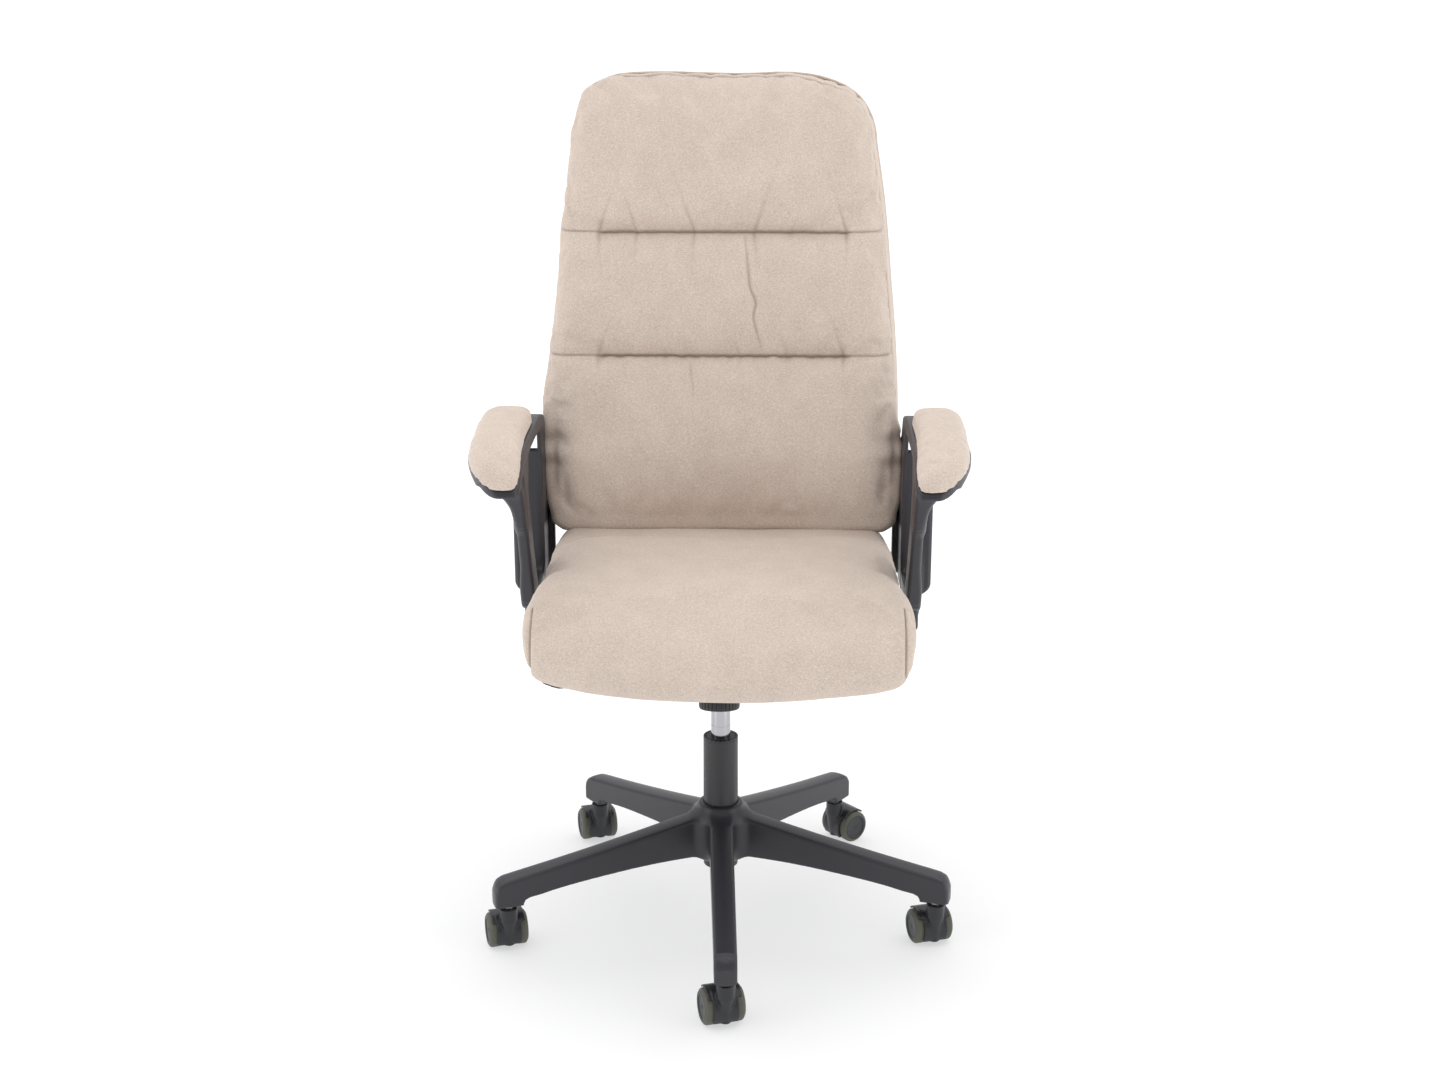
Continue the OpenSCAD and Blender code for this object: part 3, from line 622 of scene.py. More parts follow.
KNOB_RIBS = 30
KNOB_PROFILE = ([(5.05, -59), (24, -59)] + arc(25.5, -56.8, 2.6, -80, -10, 4)
                + [(28.3, -55.5), (28.5, -54), (28.5, -48), (28.5, -40), (28.5, -34)]
                + arc(26.5, -31.2, 2.0, 10, 90, 4) + [(21, -29), (21, -53), (5.05, -53)])


def ribbed(a, r, z):
    """The knob's grooves, on its rim only."""
    if r < 27 or not -56.5 < z < -31:
        return r
    return r - 1.1 * max(0.0, math.cos(KNOB_RIBS * a)) ** 4


verts, faces = lathe(KNOB_PROFILE, 240, ribbed)
knob = new_mesh("tension_knob_look", on_bolt(verts), faces)
knob.data.set_sharp_from_angle(angle=math.radians(35))
install(knob, "knob", BLACK, "black_nylon", "tension_knob")

COIL_R, WIRE_R = 15.2, 2.75
COIL_START, COIL_RISE, COIL_ANGLE = -44.75, 28.5, 7 * math.pi
coil = [(COIL_R * math.cos(a), COIL_R * math.sin(a), COIL_START + COIL_RISE * a / COIL_ANGLE)
        for a in np.linspace(0, COIL_ANGLE, 127)]
spring = new_mesh("tension_spring_look", *tube(on_bolt(coil), WIRE_R, 12))
install(spring, "lift", SPRING, "spring_steel", "tension_spring")
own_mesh(spring)

ROD_PATH = [(3, 0, 417.5), (-62, 0, 417.5), (-80, -5, 416.5), (-94, -16, 414.8), (-160, -80, 406),
            (-196, -90, 404)]
lever = new_mesh("lever_rod_look", *tube(smooth_path(ROD_PATH, 10), 4, 16))
lever.data.set_sharp_from_angle(angle=math.radians(50))
install(lever, "lever", STEEL, "bright_steel", "lever_rod")

PADDLE_PLAN = [(-168, -76), (-200, -76), (-224, -81), (-236, -92), (-234, -104), (-222, -110), (-196, -105),
               (-172, -96), (-162, -88)]


def paddle_field(p):
    """The lever's flat grip, thinner towards its ends."""
    x, y, z = p.T
    plan = polygon_distance(x, y, PADDLE_PLAN)
    return rounded_slab(plan, np.abs(z - 404 + 0.02 * (x + 200)) - 6 + 0.02 * np.abs(x + 200), 4)


paddle = new_mesh("lever_paddle_look", *surface_net(paddle_field, (-240, -112, 396), (-158, -72, 412), 1.5))
install(paddle, "lever", BLACK, "black_nylon", "lever_paddle")


# ---------------------------------------------------------------- arms

def chaikin(outline, times=2):
    """The outline with its corners cut, and cut again."""
    p = np.asarray(outline, float)
    for _ in range(times):
        q = np.roll(p, -1, axis=0)
        p = np.stack([0.75 * p + 0.25 * q, 0.25 * p + 0.75 * q], 1).reshape(-1, 2)
    return p


# Side views are (y, z), front views (x, z) and plans (x, y), with x measured outwards.
LOOP = ([(-128, 724), (-104, 700), (-8, 490)] + arc(14, 500, 24, 200, 262, 3)
        + [(34, 474), (34, 438), (126, 438), (126, 472)] + arc(162, 502, 30, 270, 360, 4)
        + [(193, 600), (190, 690), (168, 724)])
LOOP_HOLE = chaikin([(-72, 718), (36, 506)] + arc(58, 514, 14, 210, 270, 2) + arc(102, 514, 14, 270, 360, 3)
                    + [(118, 560), (114, 700), (98, 718)], 1)
TRAY_TOP = [(-210, 698), (-206, 709), (-190, 718), (-158, 727), (-118, 732.5), (-80, 734)]
TRAY = chaikin(TRAY_TOP + [(100, 734), (140, 731), (170, 716), (160, 702), (100, 720), (-100, 720),
                           (-150, 713), (-186, 704), (-204, 698)], 1)
TRAY_PLAN = chaikin([(262, 184), (262, -40), (257, -150), (255, -196), (260, -209), (272, -213), (288, -209),
                     (302, -196), (314, -174), (324, -151), (332, -126), (336, -100), (338, -40), (339, 30),
                     (332, 100), (310, 160), (292, 184)])
WEB_FRONT = chaikin([(262, 728), (331, 728), (328, 717), (319, 702), (304, 683), (289, 664), (281, 643),
                     (279, 600), (262, 600)])
WEB_SIDE = chaikin([(-198, 726), (-174, 706), (-136, 695), (-112, 679), (-96, 660), (-72, 612), (-44, 606),
                    (-68, 700), (-74, 726)])
PAD_PLAN = chaikin([(257, -184), (259, -204), (270, -213), (286, -211), (303, -200), (317, -182),
                    (327, -158), (333, -112), (335, -60), (338, 0), (339, 45), (336, 78), (324, 98),
                    (304, 106), (284, 102), (271, 86), (267, 50), (268, 0), (265, -80), (260, -145)])
PLATE_INNER = 262.5
LEG_Z, LEG_HALF = 575, 111      # middle and half height of the rear leg
CHEEK_BOLT_Y, CHEEK_BOLT_Z = 181, (610, 652)
LUG_BOLT_X, LUG_BOLT_Y = 215, (50, 110)


def arm_field(p):
    """An arm's frame: a closed loop under a tray, with a web in front, a thick rear leg and bolt lugs."""
    x, y, z = p.T
    x = np.abs(x)
    loop = np.maximum(polygon_distance(y, z, LOOP), -polygon_distance(y, z, LOOP_HOLE))
    face = 279 + 4 * step_between(560, 505, z) + 8 * step_between(60, 120, y)
    plate = rounded_slab(loop, np.abs(x - (PLATE_INNER + face) / 2) - (face - PLATE_INNER) / 2, 5)
    plan = polygon_distance(x, y, TRAY_PLAN)
    tray = rounded_slab(polygon_distance(y, z, TRAY), plan, 3)
    web_side = np.maximum(polygon_distance(y, z, WEB_SIDE), plan)
    web = rounded_slab(polygon_distance(x, z, WEB_FRONT), web_side, 6)
    rear = rounded_slab(np.maximum(loop, 118 - y), rect(x - 285.5, z - LEG_Z, 21.5, LEG_HALF, 18), 6)
    inner = rounded_slab(np.maximum(loop, 181 - y), rect(x - 272, z - LEG_Z, 20, LEG_HALF, 14), 4)
    body = join(join(join(join(plate, web, 9), tray, 7), rear, 8), inner, 5)
    lug = rounded_slab(rect(x - 232, y - 80, 42, 46, 6), np.abs(z - 440.5) - 2.5, 1)
    body = join(body, lug, 4)
    for bolt_z in CHEEK_BOLT_Z:
        boss = rounded_slab(np.hypot(y - CHEEK_BOLT_Y, z - bolt_z) - 12, np.abs(x - 257.5) - 6.5, 1)
        body = join(body, boss, 3)
    window = np.maximum(z - 716 + 0.12 * (y - 98), 684 - 0.28 * np.maximum(y - 122, 0) - z)
    body = cut(body, np.maximum.reduce([268 - x, 98 - y, window]), 3)
    for bolt_z in CHEEK_BOLT_Z:
        body = cut(body, np.hypot(y - CHEEK_BOLT_Y, z - bolt_z) - HOLE_R, 0.3)
    for bolt_y in LUG_BOLT_Y:
        body = cut(body, np.hypot(x - LUG_BOLT_X, y - bolt_y) - HOLE_R, 0.3)
    return body


arm_verts, arm_faces, arm_shade = surface_net(arm_field, (190, -218, 437), (344, 195, 736), 2.0)
for side, sign in (("left", -1), ("right", 1)):
    flip = np.array([sign, 1, 1])
    faces = arm_faces if sign > 0 else arm_faces[:, ::-1]
    arm = new_mesh(f"arm_frame_{side}_look", arm_verts * flip, faces, arm_shade * flip)
    install(arm, "tilt", NYLON, "black_nylon", "arm_frame_" + side)


# ---------------------------------------------------------------- cushions

def swell(obj, pinned, cap, pressure=4.0, slack=0.03, frames=20):
    """Blows a padded piece up with a cloth simulation.

    Points in pinned stay, and none moves further than cap. slack lets the cloth grow.
    """
    start = coords(obj)
    group = obj.vertex_groups.new(name="sewn")
    group.add([int(i) for i in np.flatnonzero(pinned)], 1.0, "REPLACE")
    mod = obj.modifiers.new("cloth", "CLOTH")
    cloth = mod.settings
    cloth.quality = 6
    cloth.mass = 0.3
    cloth.tension_stiffness = cloth.compression_stiffness = 18
    cloth.shear_stiffness = 6
    cloth.bending_stiffness = 0.6
    cloth.shrink_min = -slack
    cloth.use_pressure = True
    cloth.uniform_pressure_force = pressure
    cloth.vertex_group_mass = "sewn"
    cloth.effector_weights.gravity = 0
    mod.collision_settings.use_collision = False
    mod.point_cache.frame_start, mod.point_cache.frame_end = 1, frames
    for f in range(1, frames + 1):
        bpy.context.scene.frame_set(f)
    shape = obj.evaluated_get(bpy.context.evaluated_depsgraph_get())
    co = np.empty(len(start) * 3)
    shape.data.vertices.foreach_get("co", co)
    shift = co.reshape(-1, 3) / MM - start
    obj.modifiers.clear()
    obj.vertex_groups.clear()
    bpy.context.scene.frame_set(1)
    size = np.linalg.norm(shift, axis=1)[:, None]
    set_coords(obj, start + shift * cap * np.tanh(size / cap) / np.maximum(size, 1e-6))


def store_painted_shade(obj, amount):
    """Stores how much painted shade each point gets in a seam or crease; the fabric is tinted darker there.
    """
    layer = obj.data.attributes.new("painted_shade", "FLOAT", "POINT")
    layer.data.foreach_set("value", np.clip(amount, 0, 1).astype(np.float32))


def dent(distance, width, depth):
    return -depth * np.exp(-(distance / width) ** 2)


def fold_line(x, z, points, width, depth, raised=0.6):
    """A sharp crease along a line of (x, z) points, with the cloth a little raised on its right side."""
    p = smooth_path([(a, b, 0) for a, b in points], 10)[:, :2]
    d = np.full(x.shape, 1e9)
    side = np.zeros(x.shape)
    along = np.zeros(x.shape)
    for i in range(len(p) - 1):
        e = p[i + 1] - p[i]
        t = np.clip(((x - p[i][0]) * e[0] + (z - p[i][1]) * e[1]) / (e @ e), 0, 1)
        dx, dz = x - p[i][0] - t * e[0], z - p[i][1] - t * e[1]
        near = np.hypot(dx, dz)
        better = near < d
        d = np.where(better, near, d)
        side = np.where(better, np.sign(dx * e[1] - dz * e[0]) * near, side)
        along = np.where(better, (i + t) / (len(p) - 1), along)
    fade = np.sin(np.pi * np.clip(0.06 + 0.94 * along, 0, 1)) ** 0.5
    ridge = raised * depth * np.exp(-((side - 2.2 * width) / (2.5 * width)) ** 2)
    return fade * (dent(d, width, depth) + ridge)


# Seat: a waterfall-front cushion, sewn from a top panel and a side boxing.
SEAT_SIDE = chaikin([(210, 460), (213, 500), (212, 536), (202, 549), (100, 550), (-60, 549), (-140, 545),
                     (-190, 534), (-229, 514), (-254, 486), (-262, 460), (-256, 440), (-240, 430),
                     (-219, 431), (-207, 454)])
SEAT_PLAN = chaikin([(244, 160), (248, 90), (252, 0), (258, -100), (262, -180), (256, -216), (230, -236),
                     (160, -252), (80, -262), (0, -265), (-80, -262), (-160, -252), (-228, -236),
                     (-253, -216), (-259, -180), (-257, -100), (-252, 0), (-248, 90), (-244, 160),
                     (-238, 196), (-214, 210), (214, 210), (238, 196)])
BOARD_TOP = 455.8


def seat_field(p):
    """The seat before it is swollen, with a flat pocket for its board and higher lower corners in front."""
    x, y, z = p.T
    bow = (x / 220) ** 2 * step_between(0, -200, y)
    lift = 6 + np.where(x < 0, 9, 4) * step_between(490, 445, z)
    side = polygon_distance(y - 7 * bow, z - lift * bow, SEAT_SIDE)
    plan = polygon_distance(x, y, SEAT_PLAN)
    body = rounded_slab(side, plan, 24)
    body = np.minimum(body, overlap(overlap(side, np.abs(x) - 205, 20), 100 - y, 20))
    board = np.maximum(rect(x, y + 10, 236, 206, 26), z - BOARD_TOP)
    return np.maximum(body, -board)


def seat_seam(x, y, z):
    """Distance to the seam between the top panel and the boxing, down the front corners."""
    front = np.abs(x) - 248 + 4 * step_between(-210, -260, y)
    side = np.where(np.abs(x) > 236, z - 519 - 17 * step_between(-100, -172, y), 99)
    return np.where(y < -170, front, np.where(y > -120, side, np.maximum(front, side)))


# small folds beside the arms' front legs: the place and the turn of each
SEAT_FOLDS = ((-228, -58, 0.5), (-214, -84, 0.7), (226, -52, -0.5), (212, -80, -0.75), (236, -20, -0.2))


def seat_push(x, y, z):
    """How far each point of the swollen seat moves outwards for its seams, hollows and folds."""
    seam = seat_seam(x, y, z)
    push = (dent(seam, 3.2, 1.8) + dent(seam, 1.1, 0.9)) * step_between(452, 470, z)
    # hollows beside the arms' front legs, then soft waves
    push += dent(np.hypot(np.abs(x) - 232, (y + 40) / 1.2), 34, 4.0)
    push += 1.2 * np.sin(x / 41 + 1.3) * np.sin(z / 23) * step_between(-150, -235, y)
    push += 0.8 * np.sin(x / 29) * np.sin(y / 37 + 0.7)
    # a bulge along the back, and a shallow sitting hollow
    push += 2 * np.exp(-((y - 172) / 30) ** 2) * step_between(245, 215, np.abs(x)) * step_between(530, 545, z)
    push -= 1.5 * np.exp(-((x / 120) ** 2 + ((y - 20) / 90) ** 2))
    for cx, cy, turn in SEAT_FOLDS:
        u = (x - cx) * math.cos(turn) + (y - cy) * math.sin(turn)
        v = -(x - cx) * math.sin(turn) + (y - cy) * math.cos(turn)
        push += dent(v, 5, 1.6) * np.exp(-(u / 26) ** 2)
    return push


seat = new_mesh("seat_cushion_look", *surface_net(seat_field, (-264, -268, 428), (264, 212, 552), 6.5)[:2])
x, y, z = coords(seat).T
sewn = (z < 462) | (y > 120) | ((np.abs(seat_seam(x, y, z)) < 3.5) & (z > 470))
swell(seat, sewn, 9, pressure=3.5, slack=0.02)
subdivide(seat, 2)
co = coords(seat)
seam = seat_seam(*co.T)
co += normals(seat) * seat_push(*co.T)[:, None]
set_coords(seat, co)
x, y, z = co.T
# painted shade along the seat's seams and in the hollows beside the arms' front legs
store_painted_shade(seat, 0.75 * np.exp(-(seam / 1.5) ** 2) * step_between(452, 470, z)
       + 0.5 * np.exp(-((np.abs(x) - 232) / 16) ** 2 - ((y + 40) / 22) ** 2))
install(seat, "tilt", FABRIC, "cushion_fabric", "seat_cushion")


# Back: three padded panels over a boxing, and a flatter rear panel.
LEAN = math.radians(11.3)
BACK_FOOT = 552.0
BACK_BEND = 660         # the front face is upright below this height and leans back above it
CHANNELS = (807, 982)   # heights of the two stitched channels
BOXING = 34             # the front seam lies this far behind the front face


def back_front(z):
    """Where the front face lies at this height."""
    lean = 142 * (np.clip(z - BACK_BEND, 0, 999) / 540) ** 1.15
    return np.where(z < BACK_BEND, 158.0, 158 + lean)


def behind_back(y, z):
    """Distance behind the rear face of the back."""
    return (y - 250) * math.cos(LEAN) - (z - BACK_FOOT) * math.sin(LEAN)


def back_half(z):
    """Half the width of the back."""
    foot = 8 * (np.clip(640 - z, 0, None) / 90) ** 2
    return 260 - foot - 54 * (np.clip(z - 700, 0, None) / 480) ** 1.7


RIGHT_SIDE = [(float(back_half(z) + 4 * step_between(880, 1040, z)), z) for z in range(590, 1110, 30)]
LEFT_SIDE = [(-x - 4 * float(step_between(1020, 1090, z)) - 7 * math.exp(-((z - 745) / 60) ** 2), z)
             for x, z in RIGHT_SIDE[::-1]]
BACK_TOP = [(223, 1120), (216, 1142), (204, 1162), (184, 1179), (158, 1190), (132, 1197), (90, 1201),
            (30, 1198), (-30, 1199), (-90, 1201), (-154, 1199), (-181, 1191), (-204, 1179), (-216, 1162),
            (-221, 1142), (-227, 1120)]
BACK_EDGE = np.array([(238, 547), (254, 560)] + RIGHT_SIDE + BACK_TOP + LEFT_SIDE
                     + [(-254, 560), (-238, 547)])


def back_edge(x, z):
    return polygon_distance(x, z, BACK_EDGE)


def boxing_shift(x, y, z):
    """How far the boxing leans in towards the front face."""
    ahead = 1 - np.clip((y - back_front(z)) / 62, 0, 1)
    return ahead * 14 * step_between(40, 200, x) * step_between(650, 800, z)


def front_bulge(y, z):
    """How far the front edges stand out sideways in front of the arms' rear legs."""
    return 6 * step_between(718, 692, z) * step_between(568, 600, z) * step_between(215, 190, y)


def back_field(p):
    """The back before it is swollen, notched for the arms' rear legs and hollow for its board."""
    x, y, z = p.T
    edge = back_edge(x, z) + boxing_shift(x, y, z) - front_bulge(y, z)
    front = (back_front(z) + 3 - y) * 0.96
    body = rounded_slab(edge, front, 26 - 16 * step_between(770, 720, z))
    body = overlap(body, behind_back(y, z) + 18, 4)
    leg = np.maximum.reduce([251.5 - np.abs(x), np.abs(y - 188) - 9, z - 690])
    body = cut(body, leg, 3)
    board = np.maximum(back_edge(x, z) + 15.5, -behind_back(y, z) - 30.6)
    return np.maximum(body, -board)


# Gathers: short creases that run up and down from a channel. Each has its place, lean, reach and depth.
GATHERS = {
    982: ((-184, 1, 26, 2.8), (-128, -1, 28, 1.8), (-44, -1, 38, 2.0), (44, 1, 36, 2.2), (98, 1, 16, 1.0),
          (180, -1, 26, 2.8)),
    807: ((-184, 1, 18, 2.4), (-86, 1, 12, 0.9), (24, -1, 14, 1.0), (92, -1, 14, 1.0), (176, -1, 22, 2.4)),
}
# long creases: the line, the width and the depth of each
LONG_FOLDS = (([(31, 974), (34, 940), (38, 905), (46, 884), (43, 862), (50, 835), (56, 812)], 2.6, 3.0),
              ([(-49, 800), (-48, 785), (-45, 768), (-44, 748)], 2.6, 1.5))
# where the arms press into both sides: height and depth
PINCHES = ((690, 3.0), (655, 4.0))


def back_relief(x, y, z):
    """How far each point of the swollen back moves outwards, and how much painted shade its seams and creases
    get.
    """
    ahead = y - back_front(z)
    face = 1 - step_between(14, 34, ahead)
    push, painted_shade = np.zeros(len(x)), np.zeros(len(x))
    for channel in CHANNELS:
        deep = 1 - step_between(176, 190, np.abs(x))
        dz = z - channel
        push += face * deep * (-8 * np.exp(-np.abs(dz) / 10) - 2.5 * np.exp(-(dz / 1.8) ** 2))
        push += face * (1 - deep) * (dent(dz, 9, 1.6) + dent(dz, 1.6, 1.8))
        # painted shade along each channel
        painted_shade += face * np.exp(-(dz / 1.5) ** 2) * (0.5 + 0.2 * deep)
        painted_shade += face * deep * 0.12 * np.exp(-np.abs(dz) / 6)
    seam = ahead - BOXING
    # painted shade along the front seam
    painted_shade += 0.5 * np.exp(-(seam / 1.6) ** 2)
    push += dent(seam, 2.2, 1.8) * step_between(570, 600, z) * step_between(-60, -40, -np.abs(seam))
    for channel, folds in GATHERS.items():
        for cx, way, reach, depth in folds:
            for up in (1, -1):
                h = up * (z - channel)
                bend = cx + way * 0.35 * h * (1 if up > 0 else 0.2)
                length = 1.3 * reach if up > 0 else reach * 0.7
                fade = np.exp(-np.clip(h, 0, None) / length) * step_between(-1, 4, h)
                push += face * fade * dent(x - bend, 4.0, depth)
                # painted shade in each gather
                painted_shade += face * fade * 0.14 * depth * np.exp(-((x - bend) / 2.6) ** 2)
    # small ripples along both channels
    for cx in range(-170, 175, 24):
        off = x - cx - 12 * math.sin(cx * 1.7)
        for channel in CHANNELS:
            h = np.abs(z - channel)
            push += face * 0.8 * np.exp(-h / 16) * np.sin(off / 9) * np.exp(-(off / 18) ** 2)
    for line, width, depth in LONG_FOLDS:
        fold = fold_line(x, z, line, width, depth)
        push += face * fold
        # painted shade in the long creases
        painted_shade += face * 0.16 * np.maximum(-fold, 0)
    for cz, depth in PINCHES:
        pinch = np.exp(-((np.hypot((np.abs(x) - 258) / 2.8, z - cz)) / 10) ** 2)
        push -= face * depth * pinch
        # painted shade where the arms pinch the sides
        painted_shade += face * 0.45 * pinch
    # soft waves, stronger at the sides of the lower panel
    lower = step_between(700, 660, z)
    push += face * 1.6 * np.sin(z / 17 + 0.4) * step_between(150, 235, np.abs(x)) * lower
    push += face * 0.9 * np.sin(x / 53 + 0.5) * np.sin(z / 47) + face * 0.5 * np.sin(x / 27 + z / 61)
    # puffed and gathered top edge and upper corners
    around = np.arctan2(z - 1080, x) * 215
    crown = step_between(1130, 1180, z) * step_between(-6, 20, ahead) * (1 - step_between(46, 70, ahead))
    push += crown * (2.6 * np.abs(np.sin(around / 24 + 0.6 * np.sin(around / 61))) - 1.3)
    corner = np.exp(-((np.hypot(np.abs(x) - 196, z - 1168)) / 46) ** 2) * step_between(-4, 22, ahead)
    push += corner * (3.2 * np.abs(np.sin(around / 9.5)) - 1.4)
    foot = step_between(600, 566, z) * step_between(-8, 14, ahead)
    push += foot * (2.2 * np.abs(np.sin(x / 31 + 0.7 * np.sin(x / 47))) - 1.0)
    return push, painted_shade


back = new_mesh("back_cushion_look", *surface_net(back_field, (-264, 150, 548), (264, 400, 1204), 7.0)[:2])
x, y, z = coords(back).T
ahead = y - back_front(z)
outer = (ahead < 50) & (behind_back(y, z) < -36)
sewn = ~outer | (ahead > BOXING) | ((z < 740) & (np.abs(x) > 246)) | (z < 576)
for channel in CHANNELS:
    sewn |= (np.abs(z - channel) < 4) & (ahead < 12)
swell(back, sewn, 13, pressure=4.5, slack=0.035)
subdivide(back, 2)
co = coords(back)
push, painted_shade = back_relief(*co.T)
set_coords(back, co + normals(back) * push[:, None])
# painted shade in the back's seams, channels, gathers, folds and pinches
store_painted_shade(back, painted_shade)
install(back, "tilt", FABRIC, "cushion_fabric", "back_cushion")


def rear_field(p):
    """The rear panel: a flat cushion over the back board."""
    x, y, z = p.T
    gap = behind_back(y, z)
    return overlap(overlap(back_edge(x, z) + 0.5, -gap - 17.4, 3), gap, 16)


rear = new_mesh("back_panel_look", *surface_net(rear_field, (-262, 225, 550), (262, 402, 1204), 6.0)[:2])
subdivide(rear)
install(rear, "tilt", FABRIC, "cushion_fabric", "back_panel")


def on_rear(x, z, gap):
    """A point at this height on a plane parallel to the rear face."""
    return (x, 250 + (gap + (z - BACK_FOOT) * math.sin(LEAN)) / math.cos(LEAN), z)


PIPING_R, PIPING_GAP = 2.4, -18
rim = chaikin(BACK_EDGE, 1) * [0.999, 1]
piping_path = [on_rear(x, z, PIPING_GAP) for x, z in rim]
piping = new_mesh("back_piping", *tube(piping_path, PIPING_R, 8, closed=True))
install(piping, "tilt", FABRIC, "cushion_fabric")


# Arm pads: their top and the shelf that they lie on, as side views.
PAD_TOP = [(-212, 724), (-200, 733), (-180, 743), (-150, 752), (-110, 757), (-40, 759), (30, 758), (80, 754),
           (106, 747)]
PAD_SHELF = [(-260, 640), (-260, 709.5)] + TRAY_TOP[1:] + [(160, 734.5), (160, 640)]


def pad_field(p):
    x, y, z = p.T
    top = np.interp(y, *np.array(PAD_TOP).T)
    edge = 11 + 6 * step_between(272, 300, np.abs(x))
    body = rounded_slab(polygon_distance(x, y, PAD_PLAN), (z - top) * 0.95, edge)
    return np.maximum(body, 0.3 - polygon_distance(y, z, PAD_SHELF))


pad_verts, pad_faces, _ = surface_net(pad_field, (252, -218, 690), (346, 110, 762), 3.5)
for side, sign in (("left", -1), ("right", 1)):
    faces = pad_faces if sign > 0 else pad_faces[:, ::-1]
    pad = new_mesh(f"arm_pad_{side}_look", pad_verts * np.array([sign, 1, 1]), faces)
    x, y, z = coords(pad).T
    swell(pad, z < np.interp(y, *np.array(TRAY_TOP).T) + 4, 4, pressure=4, slack=0.02, frames=12)
    subdivide(pad)
    install(pad, "tilt", FABRIC, "cushion_fabric", "arm_pad_" + side)


# ---------------------------------------------------------------- CAD pieces that stay, with their finish

FINISH = {
    "caster_stems": STEEL, "column_tube": TUBE, "column_bushing": BLACK, "retaining_clip": STEEL,
    "thrust_bearing": STEEL, "piston_rod": STEEL, "gas_cylinder": CHROME, "release_button": RED,
    "tilt_housing": HOUSING, "seat_plate": HOUSING, "pivot_pin": STEEL, "tension_bolt": STEEL,
    "spring_cup": STEEL, "lock_slider": BLACK, "seat_board": FELT, "seat_bolts": STEEL, "back_board": PLY,
    "arm_bolts": STEEL,
}
FINISH.update({"caster_axle_" + c: STEEL for c in CASTERS})
for name, material in FINISH.items():
    kept = frame["nodes"][name].data.materials
    kept.clear()
    kept.append(material)


# ---------------------------------------------------------------- stage, lights and camera

def level_square(name, half, material):
    """A square of the stage at floor level."""
    mesh = bpy.data.meshes.new(name)
    corners = [(-half, -half, 0), (half, -half, 0), (half, half, 0), (-half, half, 0)]
    mesh.from_pydata(corners, [], [(0, 1, 2, 3)])
    obj = bpy.data.objects.new(name, mesh)
    bpy.context.scene.collection.objects.link(obj)
    mesh.materials.append(material)


# The floor glows a little less under the chair, a painted shadow. A band ahead at each side glows brighter, a
# painted light that the chrome mirrors.
paper = Paint("floor", (0.42, 0.42, 0.42, 1), 0.9, specular=0.1)
paper.set("Emission Color", (0.985, 0.988, 1, 1))
length = paper.node("ShaderNodeVectorMath", operation="LENGTH")
paper.link(paper.place, length.inputs[0])
reach = length.outputs["Value"]
x, y, _ = paper.split(paper.place)
aside = paper.math("DIVIDE", paper.math("ABSOLUTE", x, 0.0), reach)
band = paper.ramp(aside, 0.68, 0.84, 0.0, 1.3)
band = paper.math("MULTIPLY", band, paper.ramp(aside, 0.93, 0.99, 1.0, 0.0))
band = paper.math("MULTIPLY", band, paper.ramp(y, 0.0, -0.25, 0.0, 1.0))
band = paper.math("MULTIPLY", band, paper.ramp(reach, 0.75, 1.1, 0.0, 1.0))
# painted shadow: less glow near the chair, with the glowing side band added
glow = paper.math("ADD", paper.ramp(reach, 0.3, 0.9, 0.55, 0.72), band)
paper.link(glow, paper.shader.inputs["Emission Strength"])
level_square("floor", 30, paper.mat)

# strengths of the studio's light from ahead, from behind, from overhead and from its two soft boxes
WORLD_FRONT, WORLD_BACK, WORLD_TOP, SOFT_BOX = 0.32, 0.75, 1.02, 1.45


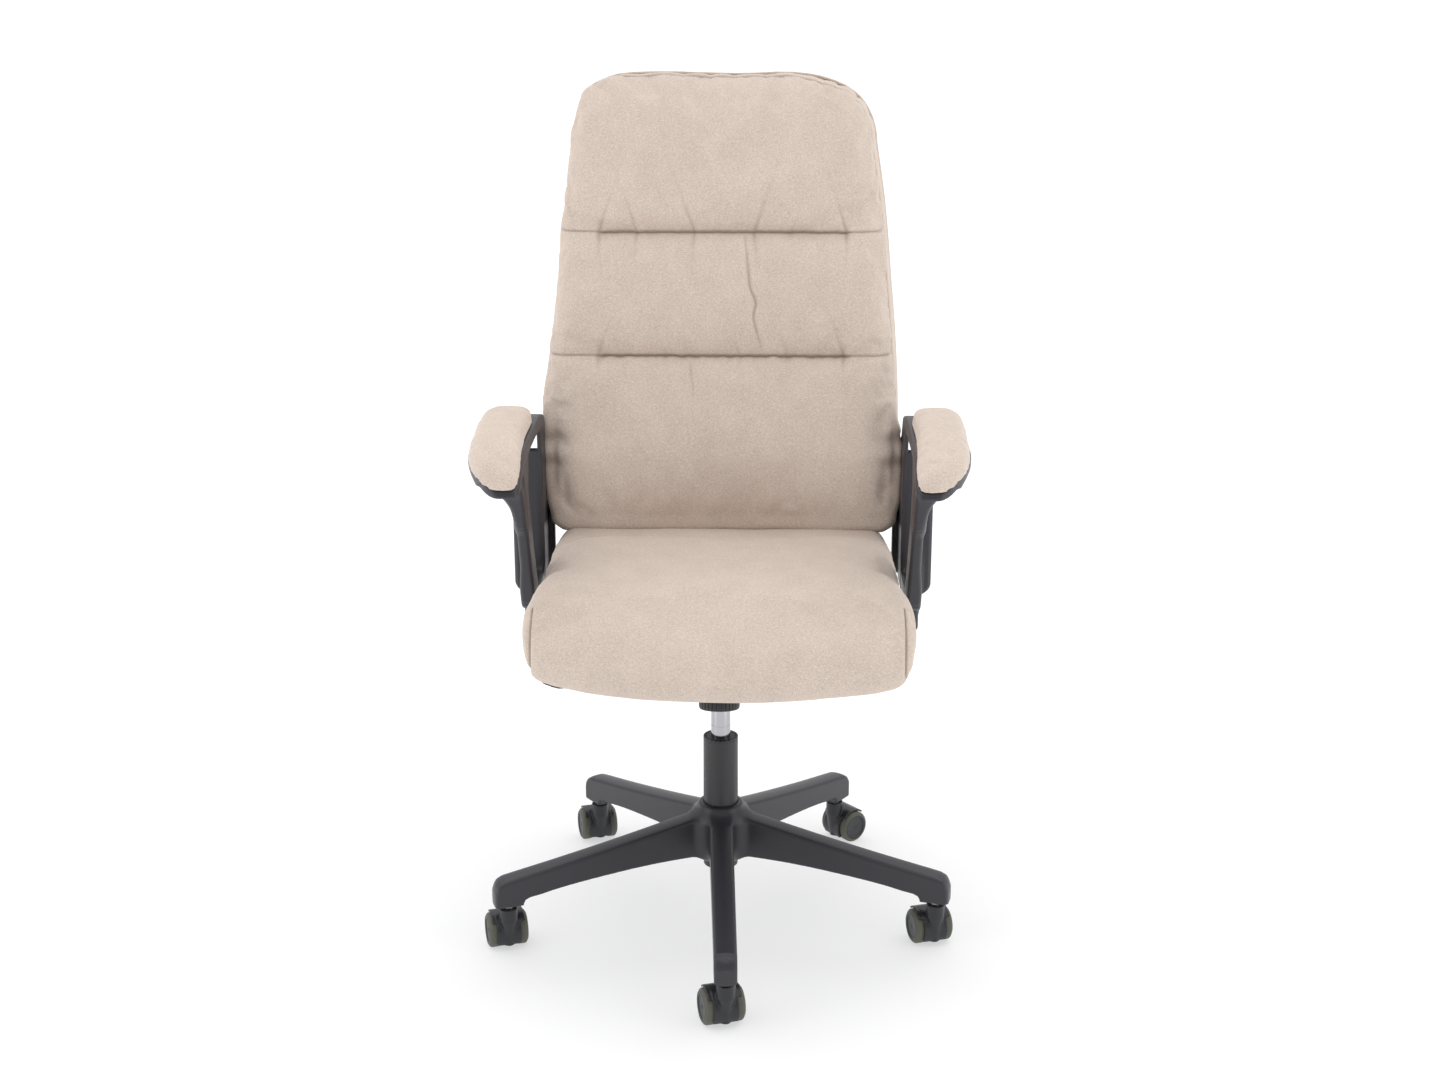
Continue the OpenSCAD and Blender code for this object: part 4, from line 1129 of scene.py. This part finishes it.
def studio():
    """A world that is white to the camera. It lights the chair from overhead and ahead at both sides."""
    world = bpy.data.worlds.new("studio")
    world.use_nodes = True
    n = Nodes(world.node_tree)
    background, out = n.tree.nodes["Background"], n.tree.nodes["World Output"]
    white = n.node("ShaderNodeBackground", Color=(1, 1, 1, 1), Strength=1.05)
    x, y, z = n.split(n.node("ShaderNodeTexCoord").outputs["Generated"])
    aside = n.ramp(n.math("MULTIPLY", x, x), 0.36, 0.66, 0, SOFT_BOX, "SMOOTHSTEP")
    boxes = n.math("MULTIPLY", aside, n.ramp(y, -0.3, 0.05, 1, 0, "SMOOTHSTEP"))
    level = n.ramp(y, -0.2, 0.4, WORLD_FRONT, WORLD_BACK, "SMOOTHSTEP")
    around = n.math("ADD", level, n.ramp(z, 0.45, 0.85, 0, WORLD_TOP, "SMOOTHSTEP"))
    background.inputs["Color"].default_value = (1, 1, 1, 1)
    n.link(n.math("ADD", boxes, around), background.inputs["Strength"])
    mix = n.node("ShaderNodeMixShader")
    n.link(n.node("ShaderNodeLightPath").outputs["Is Camera Ray"], mix.inputs[0])
    n.link(background.outputs[0], mix.inputs[1])
    n.link(white.outputs[0], mix.inputs[2])
    n.link(mix.outputs[0], out.inputs["Surface"])
    bpy.context.scene.world = world


def soft_light(name, place, target, width, height, power):
    """A rectangular area light that points at its target."""
    light = bpy.data.lights.new(name, "AREA")
    light.shape = "RECTANGLE"
    light.size, light.size_y = width, height
    light.energy = power
    obj = bpy.data.objects.new(name, light)
    obj.location = place
    obj.rotation_euler = (Vector(target) - Vector(place)).to_track_quat("-Z", "Y").to_euler()
    bpy.context.scene.collection.objects.link(obj)


studio()
soft_light("top", (0, -0.7, 3.4), (0, 0, 0.4), 2.4, 1.8, 6)

# the camera looks down and a little to its left, by these angles in degrees
LOOK_DOWN, LOOK_LEFT = 16.70, 1.2
camera = bpy.data.cameras.new("camera")
camera.sensor_width, camera.lens = 36, 49.435
camera.shift_x = 0.00121
eye = bpy.data.objects.new("camera", camera)
eye.location = (0.0559, -2.6670, 1.3801)
eye.rotation_euler = (math.radians(90 - LOOK_DOWN), 0, math.radians(LOOK_LEFT))
bpy.context.scene.collection.objects.link(eye)
bpy.context.scene.camera = eye
bpy.context.scene.view_settings.view_transform = "Standard"
